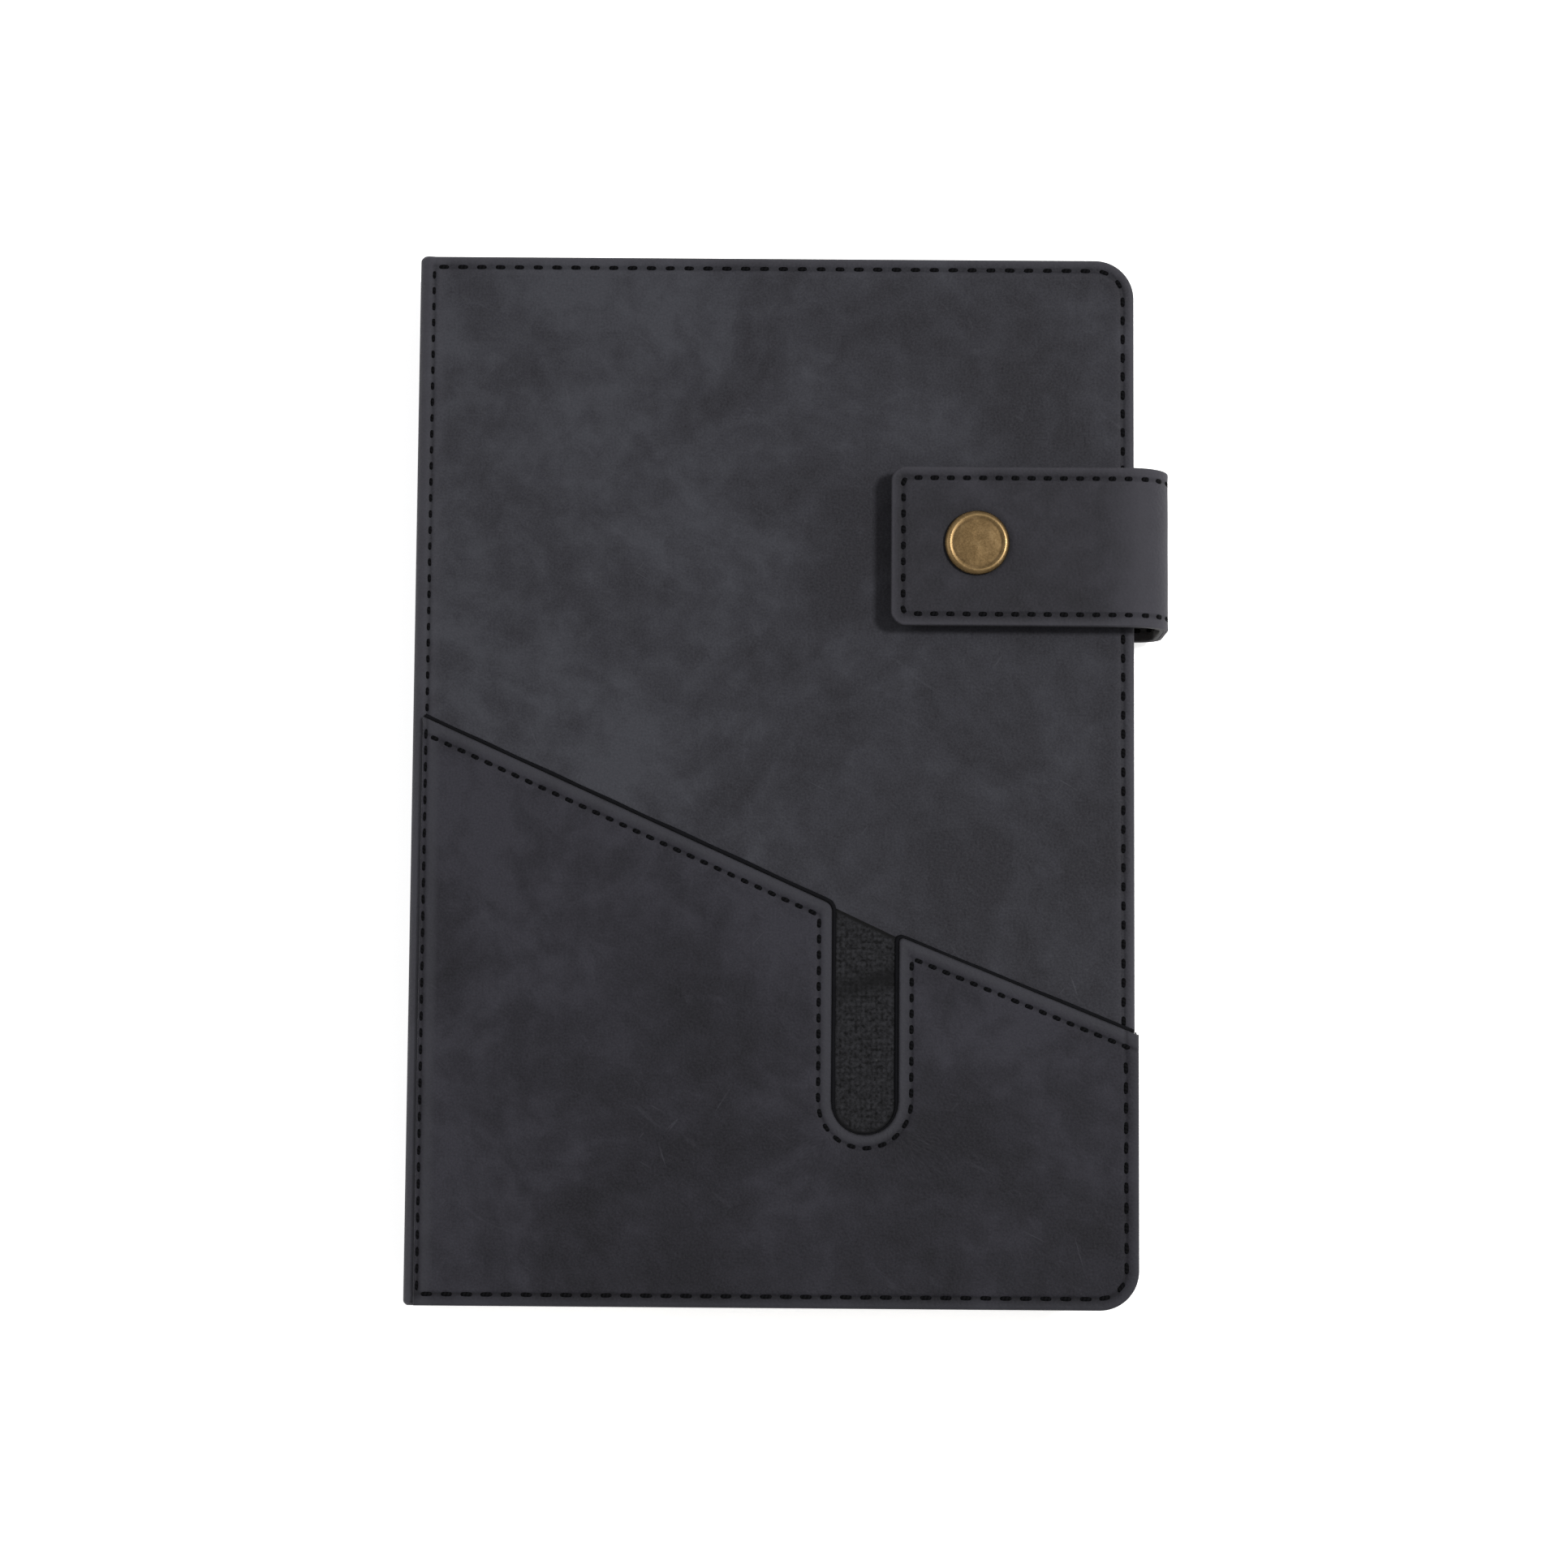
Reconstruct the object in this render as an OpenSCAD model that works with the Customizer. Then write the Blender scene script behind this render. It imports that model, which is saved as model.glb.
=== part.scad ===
// Notebook cover in A5 format: a stitched three-panel leather cover with a slash pocket, a pen slot
// and a snap strap, holding a slip-in paper refill. It lies closed on its back panel.
// +X runs from the spine to the fore edge, +Y to the head, +Z from the back panel to the front panel.

/* [Cover] */
// Width of the closed cover from the spine to the fore edge
cover_w = 147.5; // [144:0.5:156]
// Height of the cover from tail to head
cover_h = 215; // [213:1:225]
// Radius of the fore-edge corners
corner_r = 8; // [4:0.5:12]
// Outer radius of the two folds beside the spine
fold_r = 2.2; // [1.8:0.1:3]

/* [Layers] */
// Thickness of the cover leather
leather_t = 0.9; // [0.7:0.1:1.2]
// Thickness of the front and back stiffener boards
board_t = 1.4; // [1.1:0.1:2]
// Thickness of the spine stiffener board
spine_board_t = 1.2; // [1:0.1:1.4]
// Thickness of the inside lining
lining_t = 0.4; // [0.3:0.1:0.6]
// Thickness of the inside sleeve and slip pocket
sleeve_t = 0.6; // [0.5:0.1:0.8]
// Thickness of one card slot
slot_t = 0.5; // [0.4:0.1:0.6]

/* [Slash pocket] */
// Thickness of the slash pocket's leather
pocket_t = 0.8; // [0.6:0.1:1]
// Depth of the empty pocket under that leather
pocket_gap = 0.4; // [0.4:0.1:1]
// Distance from the head down to the pocket's mouth, at the spine
mouth_spine = 94.9; // [80:0.1:105]
// The same, at the notch's spine-side corner
mouth_notch_in = 133.9; // [125:0.1:138]
// The same, at the notch's fore-side corner
mouth_notch_out = 140; // [132:0.1:146]
// The same, at the fore edge
mouth_fore = 159.7; // [150:0.1:168]
// Distance from the spine to the notch's centre line
notch_x = 92.8; // [85:0.1:100]
// Width of the notch
notch_w = 13; // [10:0.5:16]
// Distance from the head down to the notch's rounded end
notch_end = 180; // [160:1:190]

/* [Refill] */
// Width of the refill's pages
page_w = 140; // [130:1:140]
// Height of the refill's pages
page_h = 209; // [200:1:209]
// Thickness of the pages that stay on the back panel
pages_t = 7.5; // [4:0.5:12]
// Thickness of each group of leaves that lifts
leaf_t = 1.2; // [0.6:0.1:2]
// Thickness of the refill's card covers
card_t = 0.5; // [0.3:0.1:0.8]

/* [Strap] */
// Width of the strap
strap_w = 32.7; // [28:0.1:38]
// Distance from the head down to the strap's centre line
strap_drop = 60.7; // [50:0.1:70]
// Distance from the spine to the strap's tip
strap_tip = 97.5; // [90:0.5:104]
// How far the strap stands out past the fore edge
strap_bulge = 7.2; // [6.5:0.1:8]
// Radius of the strap's corners at the tip
strap_corner_r = 3; // [2:0.5:6]
// Thickness of each of the strap's two layers
strap_layer_t = 0.9; // [0.7:0.1:0.9]

/* [Snap] */
// Distance from the spine to the snap's axis
snap_x = 115; // [110:0.5:120]
// Distance from the head down to the snap's axis
snap_drop = 60.1; // [56:0.1:65]
// Radius of the cap
cap_r = 6.6; // [6:0.1:7.5]
// Height of the cap above the strap
cap_h = 1.1; // [0.9:0.1:1.5]

/* [Hidden] */
$fn = 64;

cut = 1; // how far a cutting tool runs past the face it cuts
fit = 0.05; // gap between layers that slide on each other
side_fit = 0.1; // gap between a board's edge and the leather turned round it

// Across the cover
total_w = cover_w + strap_bulge;
spine_x = -total_w / 2;
fore_x = spine_x + cover_w;
half_h = cover_h / 2;
board_inset = 4.2; // from the spine's outer face to the edge of each panel's board
lining_edge = 0.7; // bare leather left round each lining
seam_w = 2.5; // width of a pocket's sewn edge

// The stack of layers, upwards
panel_t = leather_t + board_t;
back_inside = panel_t + lining_t;
back_card_z = back_inside + fit;
sleeve_z = back_card_z + card_t + fit;
pages_z = sleeve_z + sleeve_t + fit;
leaf_axis_z = pages_z + pages_t;
leaf_step = leaf_t + fit;
front_card_z = leaf_axis_z + fit + 3 * leaf_step;
slots_z = front_card_z + card_t + 2 * fit;
slip_z = slots_z + 3 * slot_t;
front_inside = slip_z + sleeve_t;
front_board_z = front_inside + lining_t;
cover_t = front_board_z + panel_t;

// Pockets
page_x = spine_x + 3.4;
pocket_wrap = 0.7; // how far the slash pocket laps over the fore edge
notch_top_x = [spine_x + notch_x - notch_w / 2, spine_x + notch_x + notch_w / 2];
elastic_t = 0.35;
elastic_lap = 3.8; // how far the elastic runs under the pocket past the notch
sleeve_mouth = 52; // from the spine to the mouth of the sleeve and of the slip pocket
slot_mouth = [102, 117, 132]; // from the head down to each card slot's mouth

// Strap: its two layers meet on a centre surface that bends twice
strap_t = 2 * strap_layer_t;
strap_y = half_h - strap_drop;
tail_z = 1.5;
tail_t = 0.8;
tail_in = 26; // length of the tail inside the back panel
side_x = spine_x + total_w - strap_layer_t;
snap_gap = 3.4; // from the front panel to the strap's underside
tongue_z = cover_t + snap_gap + strap_layer_t;
lower_r = 4.2;
upper_r = 7.5;

// Snap
snap_at = [spine_x + snap_x, half_h - snap_drop];
post_r = 2;
post_wall = 0.55;
stud_neck_r = 2.4;
stud_head_r = 2.7;
socket_bore_r = 2.95;
under_z = tongue_z - strap_layer_t;

LEATHER = [0.22, 0.22, 0.24];
POCKET = [0.2, 0.2, 0.22];
LINING = [0.14, 0.14, 0.15];
ELASTIC = [0.1, 0.1, 0.11];
BOARD = [0.5, 0.46, 0.4];
PAPER = [0.93, 0.91, 0.85];
CARD = [0.35, 0.27, 0.19];
BRASS = [0.48, 0.4, 0.27];

// ---------- shared shapes ----------

// Outline of a cover panel from x0 to the fore edge, rounded at the fore-edge corners
module panel_outline(x0, inset = 0, past = 0) {
    x1 = fore_x - inset + past;
    r = corner_r - inset;
    h = half_h - inset;
    translate([x0, -h]) square([x1 - r - x0, 2 * h]);
    translate([x0, r - h]) square([x1 - x0, 2 * (h - r)]);
    for (side = [-1, 1]) translate([x1 - r, side * (h - r)]) circle(r);
}

// A flat layer of that outline
module panel_layer(z, t, x0, inset = 0) {
    translate([0, 0, z]) linear_extrude(t) panel_outline(x0, inset);
}

// A layer across the whole height of the spine, given in X and Z
module strip(x, z, w, t, inset = 0) {
    translate([x, inset - half_h, z]) cube([w, cover_h - 2 * inset, t]);
}

// A quarter of a bent sheet that runs along Y: centre line, inner and outer radius, first angle in X-Z
module quarter_bend(x, z, inner_r, outer_r, from, y, w) {
    translate([x, y + w / 2, z]) rotate([90, 0, 0]) linear_extrude(w) intersection() {
        difference() {
            circle(outer_r);
            circle(inner_r);
        }
        rotate(from) square(outer_r + cut);
    }
}

// The part of the plane below the pocket's slanting mouth
module below_mouth() {
    polygon([
        [spine_x - cut, half_h - mouth_spine],
        [notch_top_x[0], half_h - mouth_notch_in],
        [notch_top_x[1], half_h - mouth_notch_out],
        [fore_x + cut, half_h - mouth_fore],
        [fore_x + cut, -half_h - cut],
        [spine_x - cut, -half_h - cut]
    ]);
}

// The notch's outline, widened by grow, running up past the mouth
module notch(grow = 0) {
    r = notch_w / 2 + grow;
    end_y = half_h - notch_end - grow + r;
    translate([spine_x + notch_x, end_y]) circle(r);
    translate([spine_x + notch_x - r, end_y]) square([2 * r, half_h]);
}

// A thin sewn-down panel: a plate with a rim on its head, tail and fore edges that leaves room for a card
module sleeve_shape(x0, z_plate, rim_z, rim_t) {
    panel_layer(z_plate, sleeve_t, x0, lining_edge);
    difference() {
        panel_layer(rim_z, rim_t, x0, lining_edge);
        translate([x0 - cut, -(page_h / 2 + 4 * fit), rim_z - cut])
            cube([page_x + page_w + 1 - x0 + cut, page_h + 8 * fit, rim_t + 2 * cut]);
    }
}

// A panel's leather: the outer face, turned round the board on three sides
module leather_tray(z, up) {
    wall_z = up ? z + leather_t : z - leather_t - board_t;
    panel_layer(up ? z : z - leather_t, leather_t, spine_x + fold_r);
    difference() {
        panel_layer(wall_z, board_t, spine_x + board_inset);
        translate([0, 0, -cut]) panel_layer(wall_z, board_t + 2 * cut, spine_x + board_inset - cut, leather_t);
    }
}

// ---------- back panel ----------

// The slot in the back panel's fore edge where the strap's tail goes in
module tail_slot() {
    translate([fore_x - leather_t - tail_in - side_fit, strap_y - strap_w / 2 - side_fit, tail_z])
        cube([tail_in + leather_t + cut, strap_w + 2 * side_fit, tail_t + cut]);
}

module back_leather() {
    color(LEATHER) difference() {
        leather_tray(0, true);
        tail_slot();
    }
}

module back_board() {
    color(BOARD) difference() {
        panel_layer(leather_t, board_t, spine_x + board_inset, leather_t + side_fit);
        tail_slot();
    }
}

module back_lining() {
    color(LINING) panel_layer(panel_t, lining_t, spine_x + board_inset - fit, lining_edge);
}

module back_sleeve() {
    color(POCKET) sleeve_shape(spine_x + sleeve_mouth, sleeve_z, back_inside, sleeve_z - back_inside);
}

module back_hinge_leather() {
    color(LEATHER) quarter_bend(spine_x + fold_r, fold_r, fold_r - leather_t, fold_r, 180, 0, cover_h);
}

// ---------- spine ----------

module spine_leather() {
    turn_in = side_fit + leather_t;
    color(LEATHER) {
        strip(spine_x, fold_r, leather_t, cover_t - 2 * fold_r);
        for (side = [0, 1]) mirror([0, side, 0])
            translate([spine_x + leather_t, half_h - leather_t, board_inset])
                cube([spine_board_t, leather_t, cover_t - 2 * board_inset]);
    }
}

module spine_board() {
    color(BOARD)
        strip(spine_x + leather_t, board_inset, spine_board_t, cover_t - 2 * board_inset, leather_t + side_fit);
}

module spine_lining() {
    z = board_inset - 2 * side_fit;
    color(LINING) strip(spine_x + leather_t + spine_board_t, z, lining_t, cover_t - 2 * z, lining_edge);
}

// ---------- front panel ----------

module front_hinge_leather() {
    color(LEATHER)
        quarter_bend(spine_x + fold_r, cover_t - fold_r, fold_r - leather_t, fold_r, 90, 0, cover_h);
}

module front_leather() {
    color(LEATHER) difference() {
        leather_tray(cover_t, false);
        translate([snap_at[0], snap_at[1], front_inside]) cylinder(r = post_r + fit, h = panel_t + 2);
    }
}

module front_board() {
    color(BOARD) difference() {
        panel_layer(front_board_z, board_t, spine_x + board_inset, leather_t + side_fit);
        translate([snap_at[0], snap_at[1], front_inside]) cylinder(r = 5.3, h = panel_t + 2);
    }
}

module front_lining() {
    color(LINING) panel_layer(front_inside, lining_t, spine_x + board_inset - fit, lining_edge);
}

// The slash pocket: a leather plate cut by the mouth and the notch, with a seam round it and a lap over the fore edge
module slash_pocket() {
    x0 = spine_x + fold_r + side_fit;
    lap_h = panel_t + pocket_gap;
    color(POCKET) {
        translate([0, 0, cover_t + pocket_gap]) linear_extrude(pocket_t) difference() {
            intersection() {
                panel_outline(x0, 0, pocket_wrap);
                below_mouth();
            }
            notch();
        }
        translate([0, 0, cover_t]) linear_extrude(pocket_gap) difference() {
            intersection() {
                panel_outline(x0);
                below_mouth();
            }
            translate([x0 + seam_w, seam_w - half_h]) square([cover_w - fold_r - side_fit - 2 * seam_w, cover_h]);
        }
        translate([fore_x + fit, corner_r - half_h, cover_t + pocket_gap - lap_h])
            cube([pocket_wrap - fit, 2 * half_h - mouth_fore - corner_r, lap_h]);
    }
}

module pen_elastic() {
    color(ELASTIC) translate([0, 0, cover_t]) linear_extrude(elastic_t) intersection() {
        notch(elastic_lap);
        below_mouth();
    }
}

module slip_pocket() {
    color(POCKET) panel_layer(slip_z, sleeve_t, spine_x + sleeve_mouth, lining_edge);
}

// A card slot runs from its mouth down to the tail; level 0 lies on the slip pocket
module card_slot(level) {
    color(POCKET) intersection() {
        panel_layer(slip_z - (level + 1) * slot_t, slot_t, spine_x + sleeve_mouth + 2, lining_edge);
        translate([spine_x, -half_h, 0]) cube([cover_w, cover_h - slot_mouth[level], cover_t]);
    }
}

// ---------- refill ----------

// One flat layer of the refill
module refill_layer(z, t) {
    translate([page_x, -page_h / 2, z]) cube([page_w, page_h, t]);
}

module refill_back_card() {
    color(CARD) refill_layer(back_card_z, card_t);
}

module refill_pages() {
    color(PAPER) refill_layer(pages_z, pages_t);
}

module refill_spine_tape() {
    tape_t = 0.3;
    below_leaves = 0.2;
    color(CARD) translate([page_x - tape_t, -page_h / 2, pages_z]) cube([tape_t, page_h, pages_t - below_leaves]);
}

module leaf_group(level) {
    color(PAPER) refill_layer(leaf_axis_z + fit + level * leaf_step, leaf_t);
}

module refill_front_card() {
    color(CARD) refill_layer(front_card_z, card_t);
}

// ---------- strap ----------

module strap_tail() {
    outside_w = side_x - lower_r - fore_x;
    color(LEATHER) {
        translate([fore_x + fit, strap_y - strap_w / 2, tail_z - strap_layer_t])
            cube([outside_w - fit, strap_w, strap_t]);
        translate([fore_x - leather_t - tail_in, strap_y - strap_w / 2, tail_z])
            cube([tail_in + leather_t + outside_w, strap_w, tail_t]);
    }
}

module strap_lower_bend() {
    color(LEATHER) quarter_bend(side_x - lower_r, tail_z + lower_r, lower_r - strap_layer_t,
        lower_r + strap_layer_t, 270, strap_y, strap_w);
}

// One layer of the strap beside the fore edge: x is its inner face
module strap_side_layer(x) {
    translate([x, strap_y - strap_w / 2, tail_z + lower_r])
        cube([strap_layer_t, strap_w, tongue_z - upper_r - tail_z - lower_r]);
}

module strap_side_leather() {
    color(LEATHER) strap_side_layer(side_x);
}

module strap_side_lining() {
    color(LINING) strap_side_layer(side_x - strap_layer_t);
}

module strap_upper_bend() {
    color(LEATHER) quarter_bend(side_x - upper_r, tongue_z - upper_r, upper_r - strap_layer_t,
        upper_r + strap_layer_t, 0, strap_y, strap_w);
}

// One layer of the strap over the front panel, with rounded corners at the tip and a hole for the cap's post
module strap_tongue_layer(z) {
    tip = spine_x + strap_tip;
    r = strap_corner_r;
    end = side_x - upper_r;
    difference() {
        translate([0, 0, z]) linear_extrude(strap_layer_t) {
            translate([tip + r, strap_y - strap_w / 2]) square([end - tip - r, strap_w]);
            translate([tip, strap_y - strap_w / 2 + r]) square([end - tip, strap_w - 2 * r]);
            for (side = [-1, 1]) translate([tip + r, strap_y + side * (strap_w / 2 - r)]) circle(r);
        }
        translate([snap_at[0], snap_at[1], z - cut]) cylinder(r = post_r + fit, h = strap_layer_t + 2 * cut);
    }
}

module strap_tongue_leather() {
    color(LEATHER) strap_tongue_layer(tongue_z);
}

module strap_tongue_lining() {
    color(LINING) strap_tongue_layer(tongue_z - strap_layer_t);
}

// ---------- snap ----------

// A turned part on the snap's axis: pairs of radius and height above z
module turned(z, profile) {
    translate([snap_at[0], snap_at[1], z]) rotate_extrude() polygon(profile);
}

// The cap: a shallow disc with a groove round its flat centre, and a hollow post flared inside the socket
module snap_cap() {
    top = cap_h;
    groove_r = 4.6;
    flare_z = -strap_t - 0.95;
    inner_r = post_r - post_wall;
    color(BRASS) turned(tongue_z + strap_layer_t, [
        [0, top - 0.15], [groove_r - 0.3, top - 0.15], [groove_r, top - 0.3], [groove_r + 0.3, top],
        [cap_r - 0.6, top - 0.05], [cap_r - 0.15, top - 0.4], [cap_r, top / 2 - 0.1], [cap_r - 0.2, 0],
        [post_r, 0], [post_r, -strap_t - 0.6], [stud_head_r, -strap_t - 0.6], [stud_head_r, flare_z],
        [inner_r, flare_z], [inner_r, 0.3], [0, 0.3]
    ]);
}

// The socket: a flange against the strap and a barrel with a groove that holds the ring spring
module snap_socket() {
    groove_r = 3.35;
    color(BRASS) turned(under_z, [
        [post_r + fit, 0], [5.6, 0], [5.6, -0.5], [4.7, -0.6], [4.5, -2.6], [4.3, -2.7], [socket_bore_r, -2.7],
        [socket_bore_r, -2.1], [groove_r, -2.1], [groove_r, -1.4], [socket_bore_r, -1.4],
        [socket_bore_r, -0.6], [post_r + fit, -0.6]
    ]);
}

// The ring spring in the socket, open over a short gap
module snap_spring() {
    ring_r = 2.8;
    wire_r = 0.27;
    color("silver") translate([snap_at[0], snap_at[1], under_z - 1.75])
        rotate_extrude(angle = 320) translate([ring_r, 0]) circle(wire_r);
}

// The stud on the front panel: flange, neck and head, hollow for the eyelet's tube
module snap_stud() {
    bore_r = post_r;
    color(BRASS) turned(cover_t, [
        [bore_r, 0], [5, 0], [5, 0.45], [4.6, 0.6], [stud_neck_r + 0.2, 0.6], [stud_neck_r, 0.8], [stud_neck_r, 1.8],
        [stud_head_r, 2], [stud_head_r, 2.15], [stud_head_r - 0.3, 2.4], [0, 2.4], [0, 2], [bore_r, 2]
    ]);
}

// The eyelet that clamps the stud: a flange under the leather and a tube up into the stud
module snap_eyelet() {
    tube_r = post_r - fit;
    color(BRASS) turned(cover_t - leather_t, [
        [tube_r - 0.5, -0.5], [5, -0.5], [5, 0], [tube_r, 0], [tube_r, leather_t + 1.7],
        [tube_r - 0.5, leather_t + 1.7]
    ]);
}

back_leather();
back_board();
back_lining();
back_sleeve();
back_hinge_leather();
strap_tail();
refill_back_card();
refill_pages();
refill_spine_tape();
spine_leather();
spine_board();
spine_lining();
front_hinge_leather();
front_leather();
front_board();
front_lining();
slash_pocket();
pen_elastic();
slip_pocket();
card_slot(0);  // card_slot_upper
card_slot(1);  // card_slot_middle
card_slot(2);  // card_slot_lower
snap_stud();
snap_eyelet();
leaf_group(0);  // leaves_lower
leaf_group(1);  // leaves_middle
leaf_group(2);  // leaves_upper
refill_front_card();
strap_lower_bend();
strap_side_leather();
strap_side_lining();
strap_upper_bend();
strap_tongue_leather();
strap_tongue_lining();
snap_cap();
snap_socket();
snap_spring();
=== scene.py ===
"""Looks for the notebook cover: leather, seams, refill, snap, studio and camera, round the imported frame."""
import math

import bpy
import numpy as np
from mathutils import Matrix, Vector


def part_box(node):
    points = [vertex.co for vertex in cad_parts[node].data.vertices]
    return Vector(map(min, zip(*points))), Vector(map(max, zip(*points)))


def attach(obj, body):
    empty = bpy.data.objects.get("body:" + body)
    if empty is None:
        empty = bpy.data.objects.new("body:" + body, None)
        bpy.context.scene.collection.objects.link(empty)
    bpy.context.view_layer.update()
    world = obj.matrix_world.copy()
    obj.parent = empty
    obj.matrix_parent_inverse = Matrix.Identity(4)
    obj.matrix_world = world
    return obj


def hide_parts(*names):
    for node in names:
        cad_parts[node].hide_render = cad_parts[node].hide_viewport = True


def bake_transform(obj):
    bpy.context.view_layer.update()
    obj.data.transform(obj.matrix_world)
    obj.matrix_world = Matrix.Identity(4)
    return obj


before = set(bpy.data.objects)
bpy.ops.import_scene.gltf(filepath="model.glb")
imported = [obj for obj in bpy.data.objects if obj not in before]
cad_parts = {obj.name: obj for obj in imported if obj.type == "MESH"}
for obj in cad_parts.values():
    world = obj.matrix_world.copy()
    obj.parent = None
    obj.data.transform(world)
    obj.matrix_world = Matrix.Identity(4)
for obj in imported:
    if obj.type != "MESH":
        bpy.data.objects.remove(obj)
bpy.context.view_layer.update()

MM = 0.001
UV_MM = 100.0  # one UV unit is 100 mm
TURN = 2 * math.pi
rng = np.random.default_rng(7)


# ---------------------------------------------------------------- measures, in mm, from the CAD nodes
def box(node):
    lo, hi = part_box(node)
    return np.array(lo) / MM, np.array(hi) / MM


COVER_LO, COVER_HI = box("front_leather")
SPINE_X = box("spine_leather")[0][0]
FORE_X, HALF_H, TOP_Z = COVER_HI
PANEL_T = TOP_Z - COVER_LO[2]
FOLD_R = box("front_hinge_leather")[1][0] - SPINE_X
SPINE_IN = box("spine_lining")[1][0]
BACK_IN = box("back_lining")[1][2]
FRONT_IN = box("front_lining")[0][2]
LINING_EDGE = FORE_X - box("front_lining")[1][0]
CORNER_R = 8.0
POCKET_X0, POCKET_X1 = box("slash_pocket")[0][0], box("slash_pocket")[1][0]
POCKET_UP = box("slash_pocket")[1][2] - TOP_Z  # how far the pocket stands above the front panel
ELASTIC_TOP = box("pen_elastic")[1][2]
SLIP_X, _, SLIP_Z = box("slip_pocket")[0]
SLEEVE_X, SLEEVE_Z = box("back_sleeve")[0][0], box("back_sleeve")[1][2]
PAGE_LO, PAGE_HI = box("refill_pages")
STRAP_LO, STRAP_HI = box("strap_tongue_leather")
STRAP_W = STRAP_HI[1] - STRAP_LO[1]
STRAP_Y = (STRAP_HI[1] + STRAP_LO[1]) / 2
STRAP_MID_Z = STRAP_LO[2]  # where the strap's two layers meet, over the front panel
STRAP_LAYER = STRAP_HI[2] - STRAP_LO[2]
TAIL_Z = box("strap_tail")[1][2] - STRAP_LAYER  # where they meet at the back
SIDE_LO, SIDE_HI = box("strap_side_leather")
SIDE_X = SIDE_LO[0]
LOWER_R = SIDE_LO[2] - TAIL_Z
UPPER_R = STRAP_MID_Z - SIDE_HI[2]
CAP_LO, CAP_HI = box("snap_cap")
SNAP_X, SNAP_Y = (CAP_LO[0] + CAP_HI[0]) / 2, (CAP_LO[1] + CAP_HI[1]) / 2
CAP_R = (CAP_HI[0] - CAP_LO[0]) / 2

# the slash pocket's mouth and notch, as distances from the spine and from the head
NOTCH_X = SPINE_X + 92.8
NOTCH_HALF = 6.8
NOTCH_ARC_Y = HALF_H - 180.0 + 6.5
NOTCH_CORNER_R = 1.2
MOUTH = np.array([[SPINE_X - 1, HALF_H - 94.9 + 39.0 / 87.3], [NOTCH_X - 6.5, HALF_H - 133.9],
                  [NOTCH_X + 6.5, HALF_H - 140.0], [FORE_X + 2, HALF_H - 160.3]])
MOUTH_SLOPE = 0.44
MOUTH_COS = 0.915  # a distance square to the mouth, over the same distance down the cover

# seams: how far each line of stitches is from its edge, and how deep its groove is pressed
SEAM_D = 2.35
SPINE_SEAM = 3.0
HEM_SEAM = 3.1
NOTCH_SEAM = 2.6
STRAP_SEAM = 2.35
INNER_HEM = 2.0
COVER_GROOVE, POCKET_GROOVE, INNER_GROOVE = 0.26, 0.24, 0.1
# how high the threads lie on each skin
FRONT_THREAD, BACK_THREAD, POCKET_THREAD, INNER_THREAD = -0.22, -0.33, -0.2, -0.1
SEAM_X = SPINE_X + SPINE_SEAM
SEAM_Y = HALF_H - SEAM_D


def mouth_y(x):
    return np.interp(x, MOUTH[:, 0], MOUTH[:, 1])


# ---------------------------------------------------------------- shapes
def make_piece(name, verts, faces, materials, uv=None, attributes=None, face_material=None, smooth=True):
    """A mesh piece from vertices in mm, with UVs in mm and float attributes on its vertices."""
    mesh = bpy.data.meshes.new(name)
    mesh.from_pydata((np.asarray(verts, float) * MM).tolist(), [], [tuple(int(k) for k in f) for f in faces])
    mesh.validate()
    if uv is not None:
        index = np.zeros(len(mesh.loops), int)
        mesh.loops.foreach_get("vertex_index", index)
        layer = mesh.uv_layers.new(name="UVMap")
        layer.data.foreach_set("uv", (np.asarray(uv, float)[index] / UV_MM).astype(np.float32).ravel())
    for key, values in (attributes or {}).items():
        layer = mesh.attributes.new(key, "FLOAT", "POINT")
        layer.data.foreach_set("value", np.asarray(values, np.float32).ravel())
    for m in materials if isinstance(materials, list) else [materials]:
        mesh.materials.append(m)
    if face_material is not None:
        mesh.polygons.foreach_set("material_index", np.asarray(face_material, np.int32))
    mesh.polygons.foreach_set("use_smooth", [smooth] * len(mesh.polygons))
    mesh.update()
    obj = bpy.data.objects.new(name, mesh)
    bpy.context.scene.collection.objects.link(obj)
    return obj


def grid_piece(name, verts, across, along, material, flip, keep=None, uv_from=0.0, **attributes):
    """A piece on a grid of vertices. across and along give its UVs too; keep leaves cells out."""
    ni, nj = across.shape
    i, j = np.meshgrid(np.arange(ni - 1), np.arange(nj - 1), indexing="ij")
    a = (i * nj + j).ravel()
    quads = np.stack([a, a + nj, a + nj + 1, a + 1], 1)
    if keep is not None:
        quads = quads[keep.ravel()]
    if flip:
        quads = quads[:, ::-1]
    used = np.unique(quads)
    new = np.full(across.size, -1)
    new[used] = np.arange(len(used))
    uv = np.stack([across.ravel() + uv_from, along.ravel()], 1)[used]
    values = {key: v.ravel()[used] for key, v in attributes.items()}
    return make_piece(name, verts.reshape(-1, 3)[used], new[quads], material, uv, values)


def declare(piece, nodes, body=None):
    """Hide the CAD nodes that a piece stands for, and hang it on the body that it rides on."""
    if nodes:
        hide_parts(*nodes)
    if body:
        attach(piece, body)
    return piece


def thicken(piece, thickness):
    """Give a skin its thickness, behind the face that is modelled."""
    solid = piece.modifiers.new("thickness", "SOLIDIFY")
    solid.thickness, solid.offset = thickness * MM, -1.0


def closed_tube(base, rings, sides):
    """Faces of a tube with both ends closed, from vertex number base on."""
    faces = [(a + j, a + (j + 1) % sides, a + sides + (j + 1) % sides, a + sides + j)
             for a in range(base, base + (rings - 1) * sides, sides) for j in range(sides)]
    last = base + (rings - 1) * sides
    return [*faces, tuple(range(base, base + sides))[::-1], tuple(range(last, last + sides))]


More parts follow.
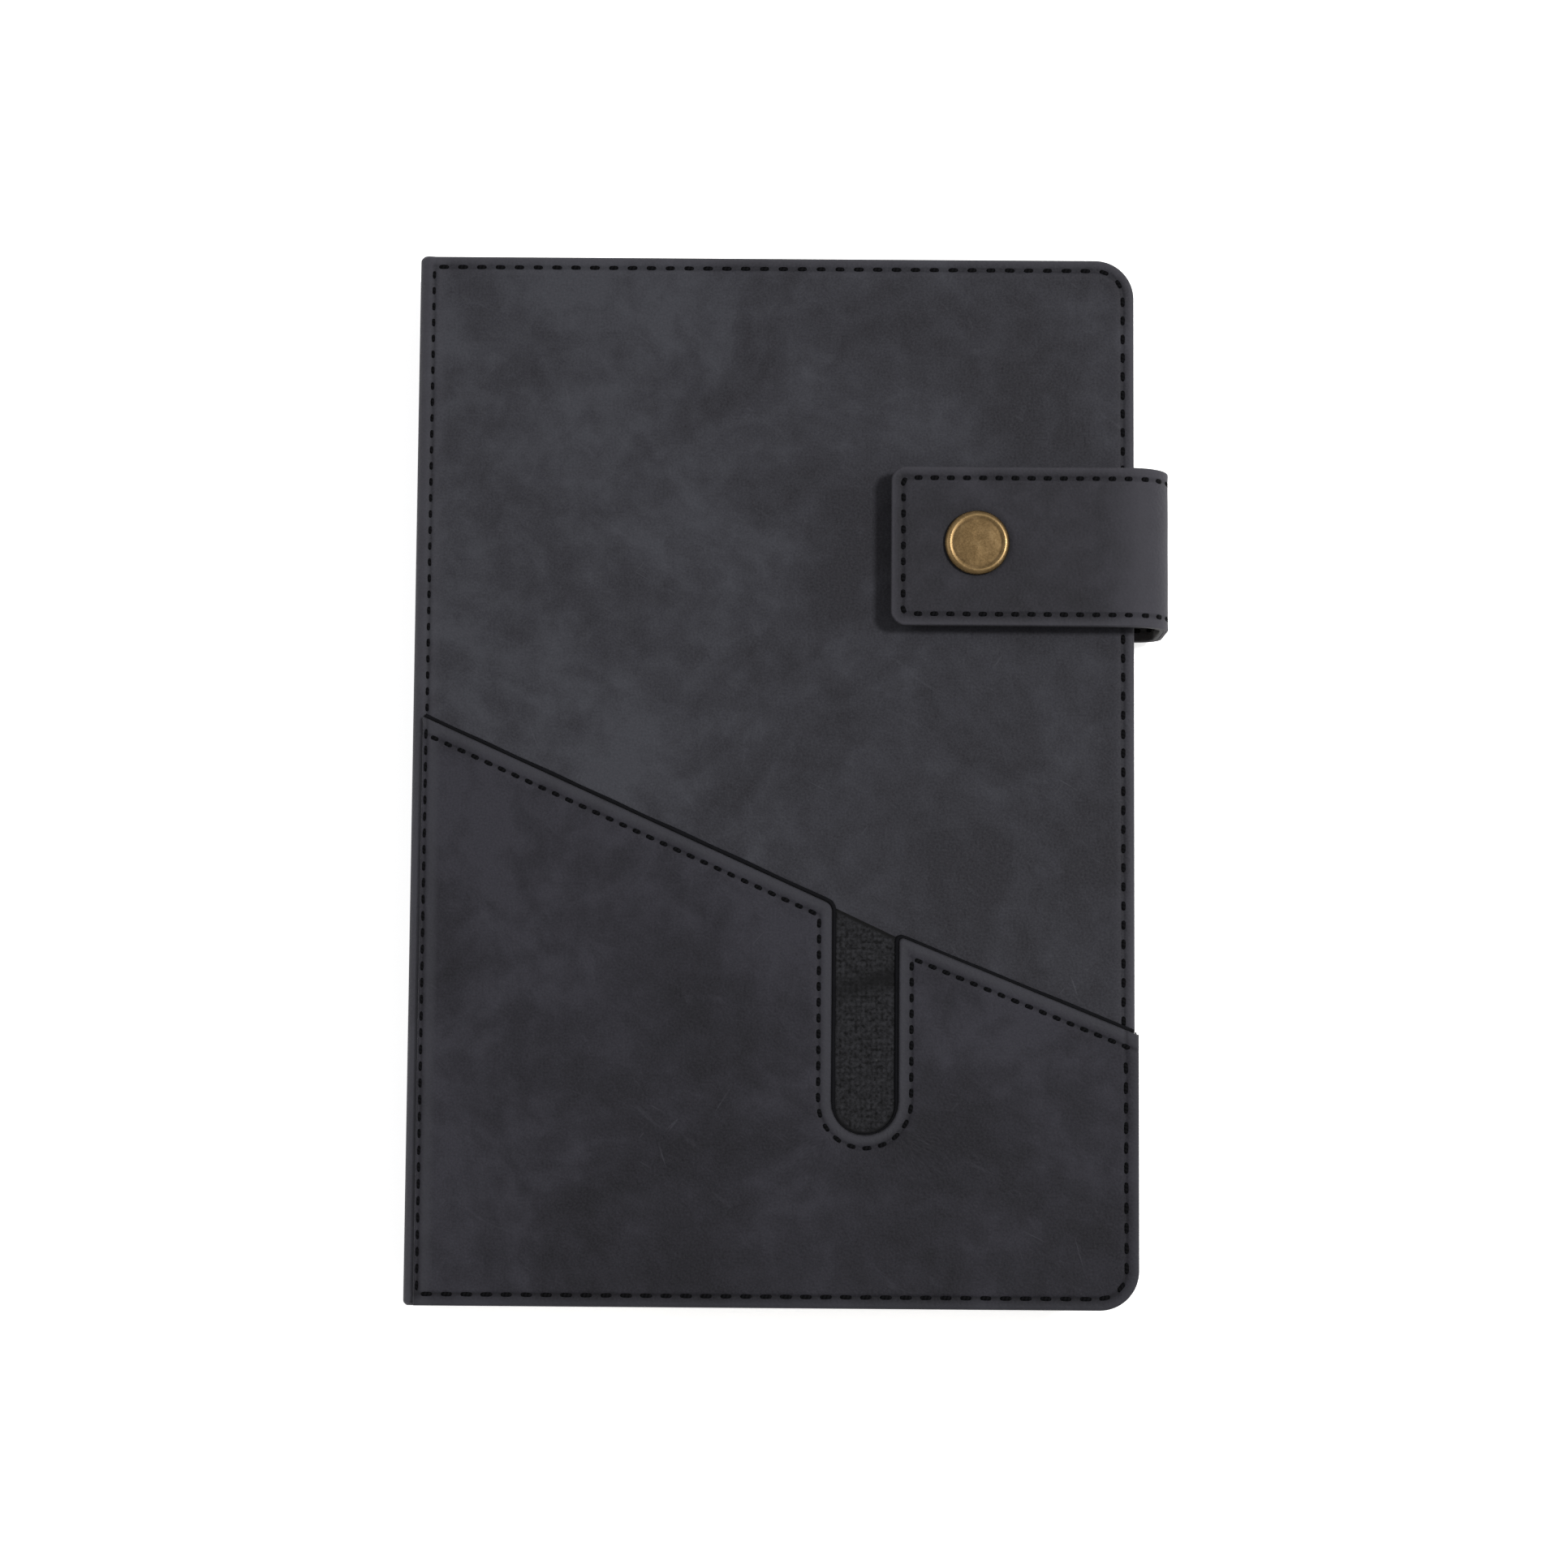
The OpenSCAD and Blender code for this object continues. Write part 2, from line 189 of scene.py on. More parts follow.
def merged(values, gap=0.02):
    """Sorted line positions without near doubles."""
    out = []
    for v in sorted(values):
        if not out or v - out[-1] > gap:
            out.append(v)
    return np.array(out)


def both_sides(half_width, spacing, edge):
    """Grid lines across a panel, mirrored about its middle."""
    half = np.arange(0, half_width, spacing)
    outer = half_width + edge.lines
    return merged([*half, *-half, half_width, -half_width, *outer, *-outer])


def offsets(centre, *values):
    return [centre + v for v in values]


def run_lengths(points):
    """Distance along a polyline at each of its points."""
    return np.concatenate([[0], np.cumsum(np.hypot(*np.diff(points, axis=0).T))])


def point_at(distance, lengths, points):
    x, y = [np.interp(distance, lengths, points[:, k]) for k in (0, 1)]
    return np.stack([x, y], -1)


def dent(d, centre, width=0.42):
    """1 at the centre, fading to 0 on both sides."""
    return np.exp(-(((d - centre) / width) ** 2))


def step(x, a, b):
    t = np.clip((x - a) / (b - a), 0, 1)
    return t * t * (3 - 2 * t)


def rounded(d, reach, drop):
    """How far a cut edge is rounded down at distance d from it."""
    t = np.clip(1 - d / reach, 0, 1)
    return drop * (1 - np.sqrt(np.clip(1 - t ** 2, 0, 1)))


def ripple(s, w, seed, size=38.0):
    """A slow unevenness of the leather, from -1 to 1."""
    r = np.random.default_rng(seed)
    out = np.zeros_like(s)
    for _ in range(7):
        k = TURN / (size * r.uniform(0.6, 1.6))
        a, p = r.uniform(0, math.pi), r.uniform(0, TURN)
        out += np.sin(k * (s * math.cos(a) + w * math.sin(a)) + p)
    return out / 4.5


class Path:
    """A line in X-Z made of straights and arcs. side +1 puts the outer face on its left, -1 on its right."""

    def __init__(self, x, z, heading, parts, side):
        self.side, self.knots = side, []
        s, a = 0.0, math.radians(heading)
        for size, degrees in parts:  # a straight's length, or an arc's radius, and the turn
            turn = math.radians(degrees)
            r = math.copysign(size, turn)
            length = abs(turn) * size if turn else size
            self.knots.append((s, length, x, z, a, turn))
            if turn:
                x += r * (math.sin(a + turn) - math.sin(a))
                z += r * (math.cos(a) - math.cos(a + turn))
            else:
                x += length * math.cos(a)
                z += length * math.sin(a)
            a += turn
            s += length
        self.length = s

    def at(self, s):
        """The point and the outward direction at distance s."""
        s = np.asarray(s, float)
        x, z, a = np.zeros_like(s), np.zeros_like(s), np.zeros_like(s)
        for n, (s0, length, x0, z0, a0, turn) in enumerate(self.knots):
            m = (s >= s0) if n else np.ones_like(s, bool)
            t = s[m] - s0
            if turn:
                r = length / turn
                a[m] = a0 + t / r
                x[m], z[m] = x0 + r * (np.sin(a[m]) - math.sin(a0)), z0 + r * (math.cos(a0) - np.cos(a[m]))
            else:
                x[m], z[m], a[m] = x0 + t * math.cos(a0), z0 + t * math.sin(a0), a0
        return x, z, -np.sin(a) * self.side, np.cos(a) * self.side

    def place(self, s, w, h):
        x, z, nx, nz = self.at(s)
        return np.stack([x + nx * h, w + 0 * x, z + nz * h], -1)


class Edge:
    """The section across a panel's edge: flat, round over, wall, round under, and a short turn in."""

    def __init__(self, radius, over, depth, under, turn_in, seam_d, steps=6):
        p = [(0.0, 0.0), (radius - over, 0.0)]
        for a in math.pi / 2 * np.arange(1, steps + 1) / steps:
            p.append((radius - over + over * math.sin(a), -over + over * math.cos(a)))
        top_end = len(p) - 1
        wall = depth - over - under
        if wall > 0.3:
            p.append((radius, -over - wall / 2))
        if wall > 0:
            p.append((radius, -over - wall))
        for a in math.pi / 2 * np.arange(1, 4) / 3:
            p.append((radius - under + under * math.cos(a), under - depth - under * math.sin(a)))
        if turn_in > under:
            p.append((radius - turn_in, -depth))
        self.radius, self.depth, self.p = radius, depth, np.array(p)
        self.c = run_lengths(self.p)
        self.top_end = self.c[top_end]
        inner = [radius - d for d in (8, 7, 6, 5.2, 4.5, 3.9) if over < d <= radius]
        inner += [radius - seam_d + o for o in (-1.1, -0.8, -0.55, -0.38, -0.2, 0, 0.2, 0.38, 0.55, 0.8)
                  if over < seam_d - o <= radius]
        self.lines = merged([v for v in inner if v > 0] + list(self.c[1:]))

    def __call__(self, m):
        return np.interp(m, self.c, self.p[:, 0]), np.interp(m, self.c, self.p[:, 1])


def circle_angle(a, b):
    """The angle from the a axis at which a square ring's point goes on a circle."""
    with np.errstate(divide="ignore", invalid="ignore"):
        return np.where(a >= b, math.pi / 4 * b / np.maximum(a, 1e-9),
                        math.pi / 2 - math.pi / 4 * a / np.maximum(b, 1e-9))


def round_corner(s, w, corner_s, corner_w, edge):
    """Unfolded grid to s, w, height, distance from the outline, corner angle, distance along the section."""
    ms, mw = np.maximum(s - corner_s, 0), np.maximum(np.abs(w) - corner_w, 0)
    m = np.maximum(ms, mw)
    phi = circle_angle(ms, mw)
    r, h = edge(m)
    s2 = np.where(ms > 0, corner_s + r * np.cos(phi), s)
    w2 = np.sign(w) * np.where(mw > 0, corner_w + r * np.sin(phi), np.abs(w))
    d = np.where(m > 0, edge.radius - r, edge.radius)
    return s2, w2, h, np.where(m > edge.top_end, 0.0, d), phi, m


# ---------------------------------------------------------------- materials
def srgb(colour, scale=1.0, lift=0.0):
    """A display colour, 0 to 255, as the linear colour that a shader takes."""
    values = [c * scale + lift for c in colour]
    return [c / 255 / 12.92 if c <= 10 else ((c / 255 + 0.055) / 1.055) ** 2.4 for c in values] + [1.0]


class Nodes:
    """A short way to write a material's node tree."""

    def __init__(self, name):
        self.material = bpy.data.materials.new(name)
        self.material.use_nodes = True
        self.tree = self.material.node_tree
        self.bsdf = self.tree.nodes["Principled BSDF"]

    def feed(self, sockets, inputs):
        for k, v in inputs.items():
            if isinstance(v, bpy.types.NodeSocket):
                self.tree.links.new(v, sockets[k])
            else:
                sockets[k].default_value = v

    def add(self, kind, inputs=None, **props):
        n = self.tree.nodes.new("ShaderNode" + kind)
        for k, v in props.items():
            setattr(n, k, v)
        self.feed(n.inputs, inputs or {})
        return n

    def set(self, **inputs):
        self.feed(self.bsdf.inputs, {k.replace("_", " "): v for k, v in inputs.items()})

    def shift(self, vector, x, y):
        return self.add("Mapping", {"Vector": vector, "Location": (x, y, 0)}).outputs["Vector"]

    def coords(self, kind, scale=(1, 1, 1), turn=0.0):
        """Texture coordinates in units of 100 mm, from the UVs or from the object."""
        c = self.add("TexCoord").outputs[kind]
        k = 1.0 if kind == "UV" else 1 / (UV_MM * MM)
        if turn:  # turned first, so that a stretch runs along the turned direction
            c = self.add("Mapping", {"Vector": c, "Rotation": (0, 0, math.radians(turn))}).outputs["Vector"]
        return self.add("Mapping", {"Vector": c, "Scale": tuple(k * v for v in scale)}).outputs["Vector"]

    def noise(self, vector, scale, detail=3.0, roughness=0.5, distortion=0.0):
        return self.add("TexNoise", {"Vector": vector, "Scale": scale, "Detail": detail,
                                     "Roughness": roughness, "Distortion": distortion}).outputs["Fac"]

    def wave(self, vector, scale, direction, distortion, **more):
        inputs = {"Vector": vector, "Scale": scale, "Distortion": distortion, **more}
        return self.add("TexWave", inputs, wave_type="BANDS", bands_direction=direction).outputs["Fac"]

    def ramp(self, fac, *stops):
        n = self.add("ValToRGB", {"Fac": fac})
        e = n.color_ramp.elements
        while len(e) < len(stops):
            e.new(0.5)
        for el, (pos, col) in zip(e, stops):
            el.position = pos
            el.color = col if hasattr(col, "__len__") else (col, col, col, 1)
        return n.outputs["Color"]

    def mix(self, fac, a, b):
        n = self.add("Mix", data_type="RGBA")
        self.feed(n.inputs, {0: fac, 6: a, 7: b})
        return n.outputs[2]

    def math(self, op, a, b=0.0, clamp=False):
        n = self.add("Math", operation=op, use_clamp=clamp)
        self.feed(n.inputs, {0: a, 1: b})
        return n.outputs[0]

    def times(self, a, b, clamp=False):
        return self.math("MULTIPLY", a, b, clamp)

    def plus(self, a, b):
        return self.math("ADD", a, b)

    def bump(self, height, strength, distance_mm, normal=None):
        inputs = {"Height": height, "Strength": strength, "Distance": distance_mm * MM}
        if normal is not None:
            inputs["Normal"] = normal
        return self.add("Bump", inputs).outputs["Normal"]

    def attribute(self, name):
        return self.add("Attribute", attribute_name=name, attribute_type="GEOMETRY").outputs["Fac"]


def leather(name, dark, light, rim, offset=0.0, worn=True, clouds=1.0):
    """Matt leather: slow clouds, fine speckle, pale rubs and scratches, pebbled grain, a painted highlight on
    raised edges and bends, and painted shade in seam grooves.
    """
    n = Nodes(name)
    v = n.coords("UV")
    shifted = n.shift(v, offset, offset * 0.7)
    cloud = n.noise(shifted, 3.1, 6.0, 0.6, 0.7)
    small = n.noise(shifted, 16.0, 4.0, 0.6, 0.3)
    blend = n.plus(n.times(cloud, 0.64), n.times(small, 0.36))
    # the tone attribute adds random patches of tone and painted light: a falloff across the cover, a shadow
    # by the strap and a highlight by the strap's bend
    blend = n.plus(blend, n.times(n.attribute("tone"), 0.06))
    half = 0.17 / clouds
    middle = [(a + b) / 2 for a, b in zip(dark, light)]
    colour = n.ramp(blend, (0.5 - half, srgb(dark)), (0.5, srgb(middle)), (0.5 + half, srgb(light)))
    speck = n.ramp(n.noise(v, 230.0, 2.0, 0.6), (0.3, srgb(dark, 0.7)), (0.7, srgb(light, lift=12)))
    colour = n.mix(0.22, colour, speck)
    if worn:
        rub = n.noise(n.coords("UV", (1.8, 8, 8), 33), 5.0, 4.0, 0.65, 1.2)
        rub = n.ramp(rub, (0.62, 0.0), (0.78, 1.0))
        colour = n.mix(n.times(rub, 0.34), colour, srgb(light, lift=10))
        where = n.ramp(n.noise(shifted, 4.0, 2.0, 0.5), (0.5, 0.0), (0.62, 1.0))
        for turn, place in ((28, 1.3), (-52, 4.1), (71, 8.6)):
            line = n.shift(n.coords("UV", (1.6, 26, 26), turn), place, place * 2)
            scratch = n.ramp(n.noise(line, 4.0, 2.0, 0.5, 0.6), (0.72, 0.0), (0.77, 1.0))
            colour = n.mix(n.times(n.times(scratch, where), 0.3), colour, srgb(light, lift=22))
    # painted highlight on the raised edges, folds, ridges and bends
    colour = n.mix(n.times(n.attribute("rim"), 0.7, True), colour, srgb(rim))
    # painted shade in the pressed grooves of the seams, deeper along the tail, and a painted shadow ring
    # round the snap cap
    colour = n.mix(n.times(n.attribute("groove"), 0.26, True), colour, srgb(dark, 0.55))
    pebbles = n.add("TexVoronoi", {"Vector": v, "Scale": 150.0, "Randomness": 1.0}, feature="SMOOTH_F1")
    normal = n.bump(n.ramp(pebbles.outputs["Distance"], (0.1, 0.0), (0.6, 1.0)), 0.35, 0.12)
    normal = n.bump(n.noise(v, 420.0, 3.0, 0.6), 0.3, 0.08, normal)
    n.set(Base_Color=colour, Normal=normal, Roughness=n.ramp(blend, (0.3, 0.62), (0.7, 0.78)))
    n.set(Specular_IOR_Level=0.22, Sheen_Weight=0.03, Sheen_Roughness=0.5)
    return n.material


def thread(name, colour, light):
    n = Nodes(name)
    twist = n.wave(n.coords("UV"), 26.0, "DIAGONAL", 0.4)
    n.set(Base_Color=n.mix(twist, srgb(colour), srgb(light)), Normal=n.bump(twist, 0.6, 0.08))
    n.set(Roughness=0.8, Specular_IOR_Level=0.06)
    return n.material


def cloth(name, colour, light, coords="UV"):
    """A plain weave: two crossed sets of fine bands, with a slow change of tone."""
    n = Nodes(name)
    v = n.coords(coords)
    bands = 140.0 / 6.283
    weave = n.times(n.wave(v, bands, "X", 0.3), n.wave(v, bands, "Y", 0.3))
    colour = n.mix(weave, srgb(colour), srgb(light))
    colour = n.mix(n.times(n.noise(v, 4.0, 3.0), 0.3), colour, srgb(light))
    n.set(Base_Color=colour, Roughness=0.85, Normal=n.bump(weave, 0.5, 0.08))
    n.set(Sheen_Weight=0.25, Sheen_Roughness=0.6, Specular_IOR_Level=0.2)
    return n.material


def elastic_weave():
    """Black knitted elastic: short crossed ribs with a little lint, and painted shade along its sides, top
    and crease.
    """
    n = Nodes("elastic_weave")
    v = n.coords("UV")
    knit = n.add("TexVoronoi", {"Vector": v, "Scale": 120.0}, feature="F1").outputs["Distance"]
    ribs = n.times(n.wave(v, 26.0, "Y", 1.2, Detail=1.0), n.wave(v, 30.0, "X", 1.0))
    fuzz = n.plus(n.times(n.noise(v, 150.0, 2.0, 0.7), 0.6), n.times(n.noise(v, 70.0, 2.0, 0.6), 0.4))
    height = n.plus(n.times(n.plus(ribs, n.times(knit, 0.5)), 0.1), fuzz)
    colour = n.ramp(height, (0.42, srgb((2, 2, 3))), (0.67, srgb((40, 40, 43))))
    lint = n.ramp(n.noise(v, 60.0, 2.0, 0.5), (0.72, 0.0), (0.78, 1.0))
    colour = n.mix(n.times(lint, 0.35), colour, srgb((84, 84, 84)))
    # painted shade: near black under the pocket's walls and mouth, and in the crease
    colour = n.mix(n.attribute("groove"), colour, srgb((4, 4, 5)))
    n.set(Base_Color=colour, Roughness=0.8, Normal=n.bump(height, 0.8, 0.15), Specular_IOR_Level=0.2)
    return n.material


def ruled_paper(name):
    """Ivory paper with faint fibres and printed lines."""
    n = Nodes(name)
    v = n.coords("UV")
    fibre = n.noise(v, 90.0, 4.0, 0.7)
    colour = n.mix(n.times(fibre, 0.5), srgb((246, 241, 228)), srgb((228, 221, 203)))
    place = n.add("SeparateXYZ", {"Vector": v}).outputs
    pitch = 7.0
    across = n.math("FRACT", n.times(n.plus(place["Y"], 20.0), UV_MM / pitch))
    line = n.math("LESS_THAN", across, 0.035)
    past_spine = n.math("GREATER_THAN", place["X"], (PAGE_LO[0] + 9.0) / UV_MM)
    before_edge = n.math("LESS_THAN", place["X"], (PAGE_HI[0] - 5.0) / UV_MM)
    off_head = n.math("LESS_THAN", n.math("ABSOLUTE", place["Y"]), 0.9)
    inside = n.times(off_head, n.times(past_spine, before_edge))
    colour = n.mix(n.times(n.times(line, inside), 0.5), colour, srgb((120, 132, 150)))
    n.set(Base_Color=colour, Roughness=0.88, Normal=n.bump(fibre, 0.15, 0.03), Specular_IOR_Level=0.2)
    return n.material


def card_stock(name, dark, light, coords="UV"):
    n = Nodes(name)
    v = n.coords(coords)
    fibre = n.noise(v, 60.0, 5.0, 0.75)
    fleck = n.ramp(n.noise(v, 180.0, 2.0, 0.5), (0.68, 0.0), (0.74, 1.0))
    colour = n.mix(n.times(fleck, 0.4), n.mix(fibre, srgb(dark), srgb(light)), srgb(dark, 0.6))
    n.set(Base_Color=colour, Roughness=0.85, Normal=n.bump(fibre, 0.2, 0.05), Specular_IOR_Level=0.25)
    return n.material


def antique_brass(name):
    """Brass with brown patina in its low places, rubbed bright on its raised rim."""
    n = Nodes(name)
    v = n.coords("Object")
    patina = n.noise(v, 40.0, 5.0, 0.7, 0.5)
    fine = n.noise(v, 300.0, 3.0, 0.6)
    colour = n.ramp(n.plus(n.times(patina, 0.8), n.times(fine, 0.2)),
                    (0.3, srgb((96, 77, 50))), (0.55, srgb((128, 105, 72))), (0.75, srgb((150, 127, 92))))
    rubbed = n.ramp(n.noise(v, 9.0, 2.0, 0.5), (0.38, 0.25), (0.62, 1.0))
    colour = n.mix(n.times(n.attribute("bright"), rubbed), colour, srgb((180, 152, 108)))
    colour = n.mix(n.attribute("groove"), colour, srgb((64, 50, 34)))
    n.set(Base_Color=colour, Metallic=1.0, Roughness=n.ramp(fine, (0.3, 0.34), (0.7, 0.46)),
          Normal=n.bump(fine, 0.12, 0.03))
    return n.material


def steel(name):
    n = Nodes(name)
    fine = n.noise(n.coords("Object"), 500.0, 2.0)
    n.set(Base_Color=n.mix(fine, srgb((150, 150, 152)), srgb((190, 190, 190))), Metallic=1.0,
          Roughness=n.ramp(fine, (0.3, 0.25), (0.7, 0.4)))
    return n.material


def needle_hole_shade(name):
    n = Nodes(name)
    shade = n.noise(n.coords("Object"), 400.0)
    # near black: painted shade in the needle's hole
    n.set(Base_Color=n.mix(shade, srgb((6, 6, 7)), srgb((14, 13, 15))), Roughness=0.9)
    return n.material


def edge_paint_and_shadow_material(name):
    """Dark paint on a cut edge of leather; on the pocket it also stands for the painted shadow line beside
    the edge.
    """
    n = Nodes(name)
    flow = n.noise(n.coords("Object"), 40.0, 3.0, 0.6)
    n.set(Base_Color=n.mix(flow, srgb((12, 12, 14)), srgb((22, 22, 25))), Roughness=0.85,
          Normal=n.bump(flow, 0.3, 0.05), Specular_IOR_Level=0.06)
    return n.material


COVER = leather("cover_leather", (29.5, 28.1, 33.9), (60.7, 61.2, 67), (66, 65, 71), clouds=1.35)
POCKET = leather("pocket_leather", (18.3, 17, 23), (49, 48, 55), (58, 58, 63), offset=3.7, clouds=1.4)
STRAP = leather("strap_leather", (18, 17, 22), (49, 48, 54), (66, 65, 71), offset=7.9, clouds=1.5)
INNER = leather("inner_leather", (44, 43, 47), (60, 59, 64), (68, 67, 72), offset=1.3, worn=False, clouds=0.7)
STRAP_LINING = leather("strap_lining", (34, 33, 37), (46, 45, 49), (54, 53, 57), offset=5.3, worn=False)
LINING = cloth("lining_cloth", (36, 36, 39), (54, 54, 58))
ELASTIC = elastic_weave()
THREAD = thread("seam_thread", (4, 4, 5), (15, 15, 17))
HOLE_SHADE = needle_hole_shade("needle_hole_shade")
PAINT_AND_SHADOW = edge_paint_and_shadow_material("edge_paint_and_shadow")
RULED = ruled_paper("ruled_pages")
CARD = card_stock("card_cover", (134, 108, 76), (158, 131, 96))
CARD_CAD = card_stock("card_cad", (134, 108, 76), (158, 131, 96), "Object")
BOARD = card_stock("stiffener_board", (126, 116, 100), (150, 140, 122), "Object")
TAPE = cloth("spine_tape", (40, 40, 44), (62, 62, 66), "Object")
BRASS = antique_brass("antique_brass")
STEEL = steel("spring_wire")


# ---------------------------------------------------------------- seams
def stitch_mesh(frames, length, width, height):
    """Threads of one seam, from the place, three directions, length and slimness of each stitch."""
    t = np.array([-0.5, -0.46, -0.36, -0.18, 0.0, 0.18, 0.36, 0.46, 0.5])
    girth = np.array([0.25, 0.62, 0.9, 1.0, 1.0, 1.0, 0.9, 0.62, 0.25])
    dive = -0.9 * np.abs(2 * t) ** 5
    sides = 8
    ring = [(math.cos(a), math.sin(a)) for a in np.arange(sides) / sides * TURN]
    verts, faces, uv, mats = [], [], [], []
    for k, (pos, along, across, up, longer, slim) in enumerate(frames):
        base = len(verts)
        stretch = length * longer * (1 + rng.uniform(-0.05, 0.05))
        skew = rng.uniform(-0.05, 0.05)
        for a, g, c in zip(t, girth, dive):
            middle = pos + along * (a * stretch) + across * (a * skew * stretch) + up * (c * height * 0.6)
            for n, (cy, cz) in enumerate(ring):
                verts.append(middle + across * (cy * slim * width / 2 * g) + up * (cz * height / 2 * g))
                uv.append((a * stretch * 3, n / sides * 3 + k * 0.37))
        tube = closed_tube(base, len(t), sides)
        faces += tube
        mats += [0] * len(tube)
        for end in (-0.5, 0.5):  # the needle's hole at each end: a shallow pit, coloured dark as painted shade
            b = len(verts)
            c = pos + along * (end * stretch) - up * (height * 0.33)
            verts.append(c - up * 0.02)
            for cy, cz in ring:
                verts.append(c + along * (0.24 * cy) + across * (0.36 * slim * cz) + up * 0.045)
            uv += [(0, 0)] * (sides + 1)
            faces += [(b, b + 1 + j, b + 1 + (j + 1) % sides) for j in range(sides)]
            mats += [1] * sides
    return verts, faces, uv, mats


def along_line(points, pitch):
    """Stitch middles along a polyline: places and directions."""
    p = np.asarray(points, float)
    c = run_lengths(p)
    n = max(1, int(round(c[-1] / pitch)))
    at = (np.arange(n) + 0.5) * c[-1] / n
    d = point_at(at + 0.4, c, p) - point_at(at - 0.4, c, p)
    return point_at(at, c, p), d / np.maximum(np.hypot(*d.T), 1e-9)[:, None]


def seam(name, lines, surface, pitch=3.35, length=1.8, width=1.15, height=0.6):
    """A seam as one piece. lines: polyline, its pitch or None, and its share of the threads' width."""
    frames = []
    for line, own, *slim in lines:
        for q, d in zip(*along_line(line, own or pitch)):
            p0, up = surface(*q)
            a = surface(*(q + d * 0.05))[0] - p0
            a /= np.linalg.norm(a)
            up = up - a * (up @ a)
            up /= np.linalg.norm(up)
            frames.append((p0, a, np.cross(up, a), up, (own or pitch) / pitch, slim[0] if slim else 1.0))
    v, f, uv, mats = stitch_mesh(frames, length, width, height)
    return make_piece(name, v, f, [THREAD, HOLE_SHADE], uv, face_material=mats)


def path_surface(path, height, shift_y=0.0):
    """Where a seam's threads lie on a path: height is how far their middle is above it."""
    def at(s, w):
        x, z, nx, nz = path.at(np.array([s]))
        up = np.array([nx[0], 0.0, nz[0]])
        return np.array([x[0], w + shift_y, z[0]]) + up * height, up
    return at


def flat_surface(z_at, up):
    """A level surface, z_at a function of x and y, facing up (1) or down (-1)."""
    def at(x, y):
        return np.array([x, y, z_at(x, y)]), np.array([0.0, 0.0, float(up)])
    return at


def arc_points(cx, cy, r, a0, a1, n=10):
    a = np.radians(np.linspace(a0, a1, n))
    return [(cx + r * math.cos(t), cy + r * math.sin(t)) for t in a]


def round_rect_line(x0, x1, y, r):
    """From (x0, y) along the head, round the fore corners, and back along the tail to (x0, -y)."""
    return [(x0, y), (x1 - r, y), *arc_points(x1 - r, y - r, r, 90, 0), (x1, 0),
            *arc_points(x1 - r, r - y, r, 0, -90), (x0, -y)]


# ---------------------------------------------------------------- cover skins
COVER_EDGE = Edge(CORNER_R, 0.95, PANEL_T, 0.4, 1.6, SEAM_D)
SPINE_HALF = TOP_Z / 2 - FOLD_R
FOLD_END = SPINE_HALF + math.pi / 2 * FOLD_R  # along the path, where the panel starts
PANEL_RUN = (FORE_X - SPINE_X - FOLD_R, 0)
FRONT_PATH = Path(SPINE_X, TOP_Z / 2, 90, [(SPINE_HALF, 0), (FOLD_R, -90), PANEL_RUN], 1)
BACK_PATH = Path(SPINE_X, TOP_Z / 2, -90, [(SPINE_HALF, 0), (FOLD_R, 90), PANEL_RUN], -1)
S_OF_X = FOLD_END - SPINE_X - FOLD_R  # x to distance along either path, on the flat panel
SPAN = FORE_X + S_OF_X
SEAM_S = SEAM_X + S_OF_X

# soft paler and darker places: x, y, radius, strength; the one at (16, 42) is a painted shadow left of and
# below the strap's end, the rest are patches of tone
COVER_PATCHES = ((9, 82, 20, -1.0), (10, -12, 26, -1.6), (-58, 2, 22, 0.7), (16, 42, 24, -0.8),
                 (46, -12, 18, -0.6), (-44, 92, 24, -0.5), (-14, 18, 14, 0.8), (62, 96, 16, -0.8))
POCKET_PATCHES = ((-56, -60, 24, 1.7), (-30, -99, 34, -1.3), (30, -98, 26, -0.7), (-30, -60, 14, -1.1),
                  (12, -84, 14, 0.8))
STRAP_PATCHES = ((30, 8, 9, 1), (26, -6, 8, -0.8), (34, -9, 7, -0.8))  # x is the distance from the tip


def patches(x, y, places):
    return sum(k * np.exp(-((x - px) ** 2 + (y - py) ** 2) / r ** 2) for px, py, r, k in places)


def light_falloff_and_tone(x, y):
    """Paler by the spine and head, darker by the fore edge and tail: in part a painted falloff of light, in
    part the leather's uneven tone.
    """
    return np.clip(0.1 - 0.95 * x / FORE_X + 0.35 * y / HALF_H, -1, 1)


def in_shade(drop):
    """1 along the tail, where the seam lies in its own shade."""
    return step(drop, HALF_H - 9, HALF_H - 5)


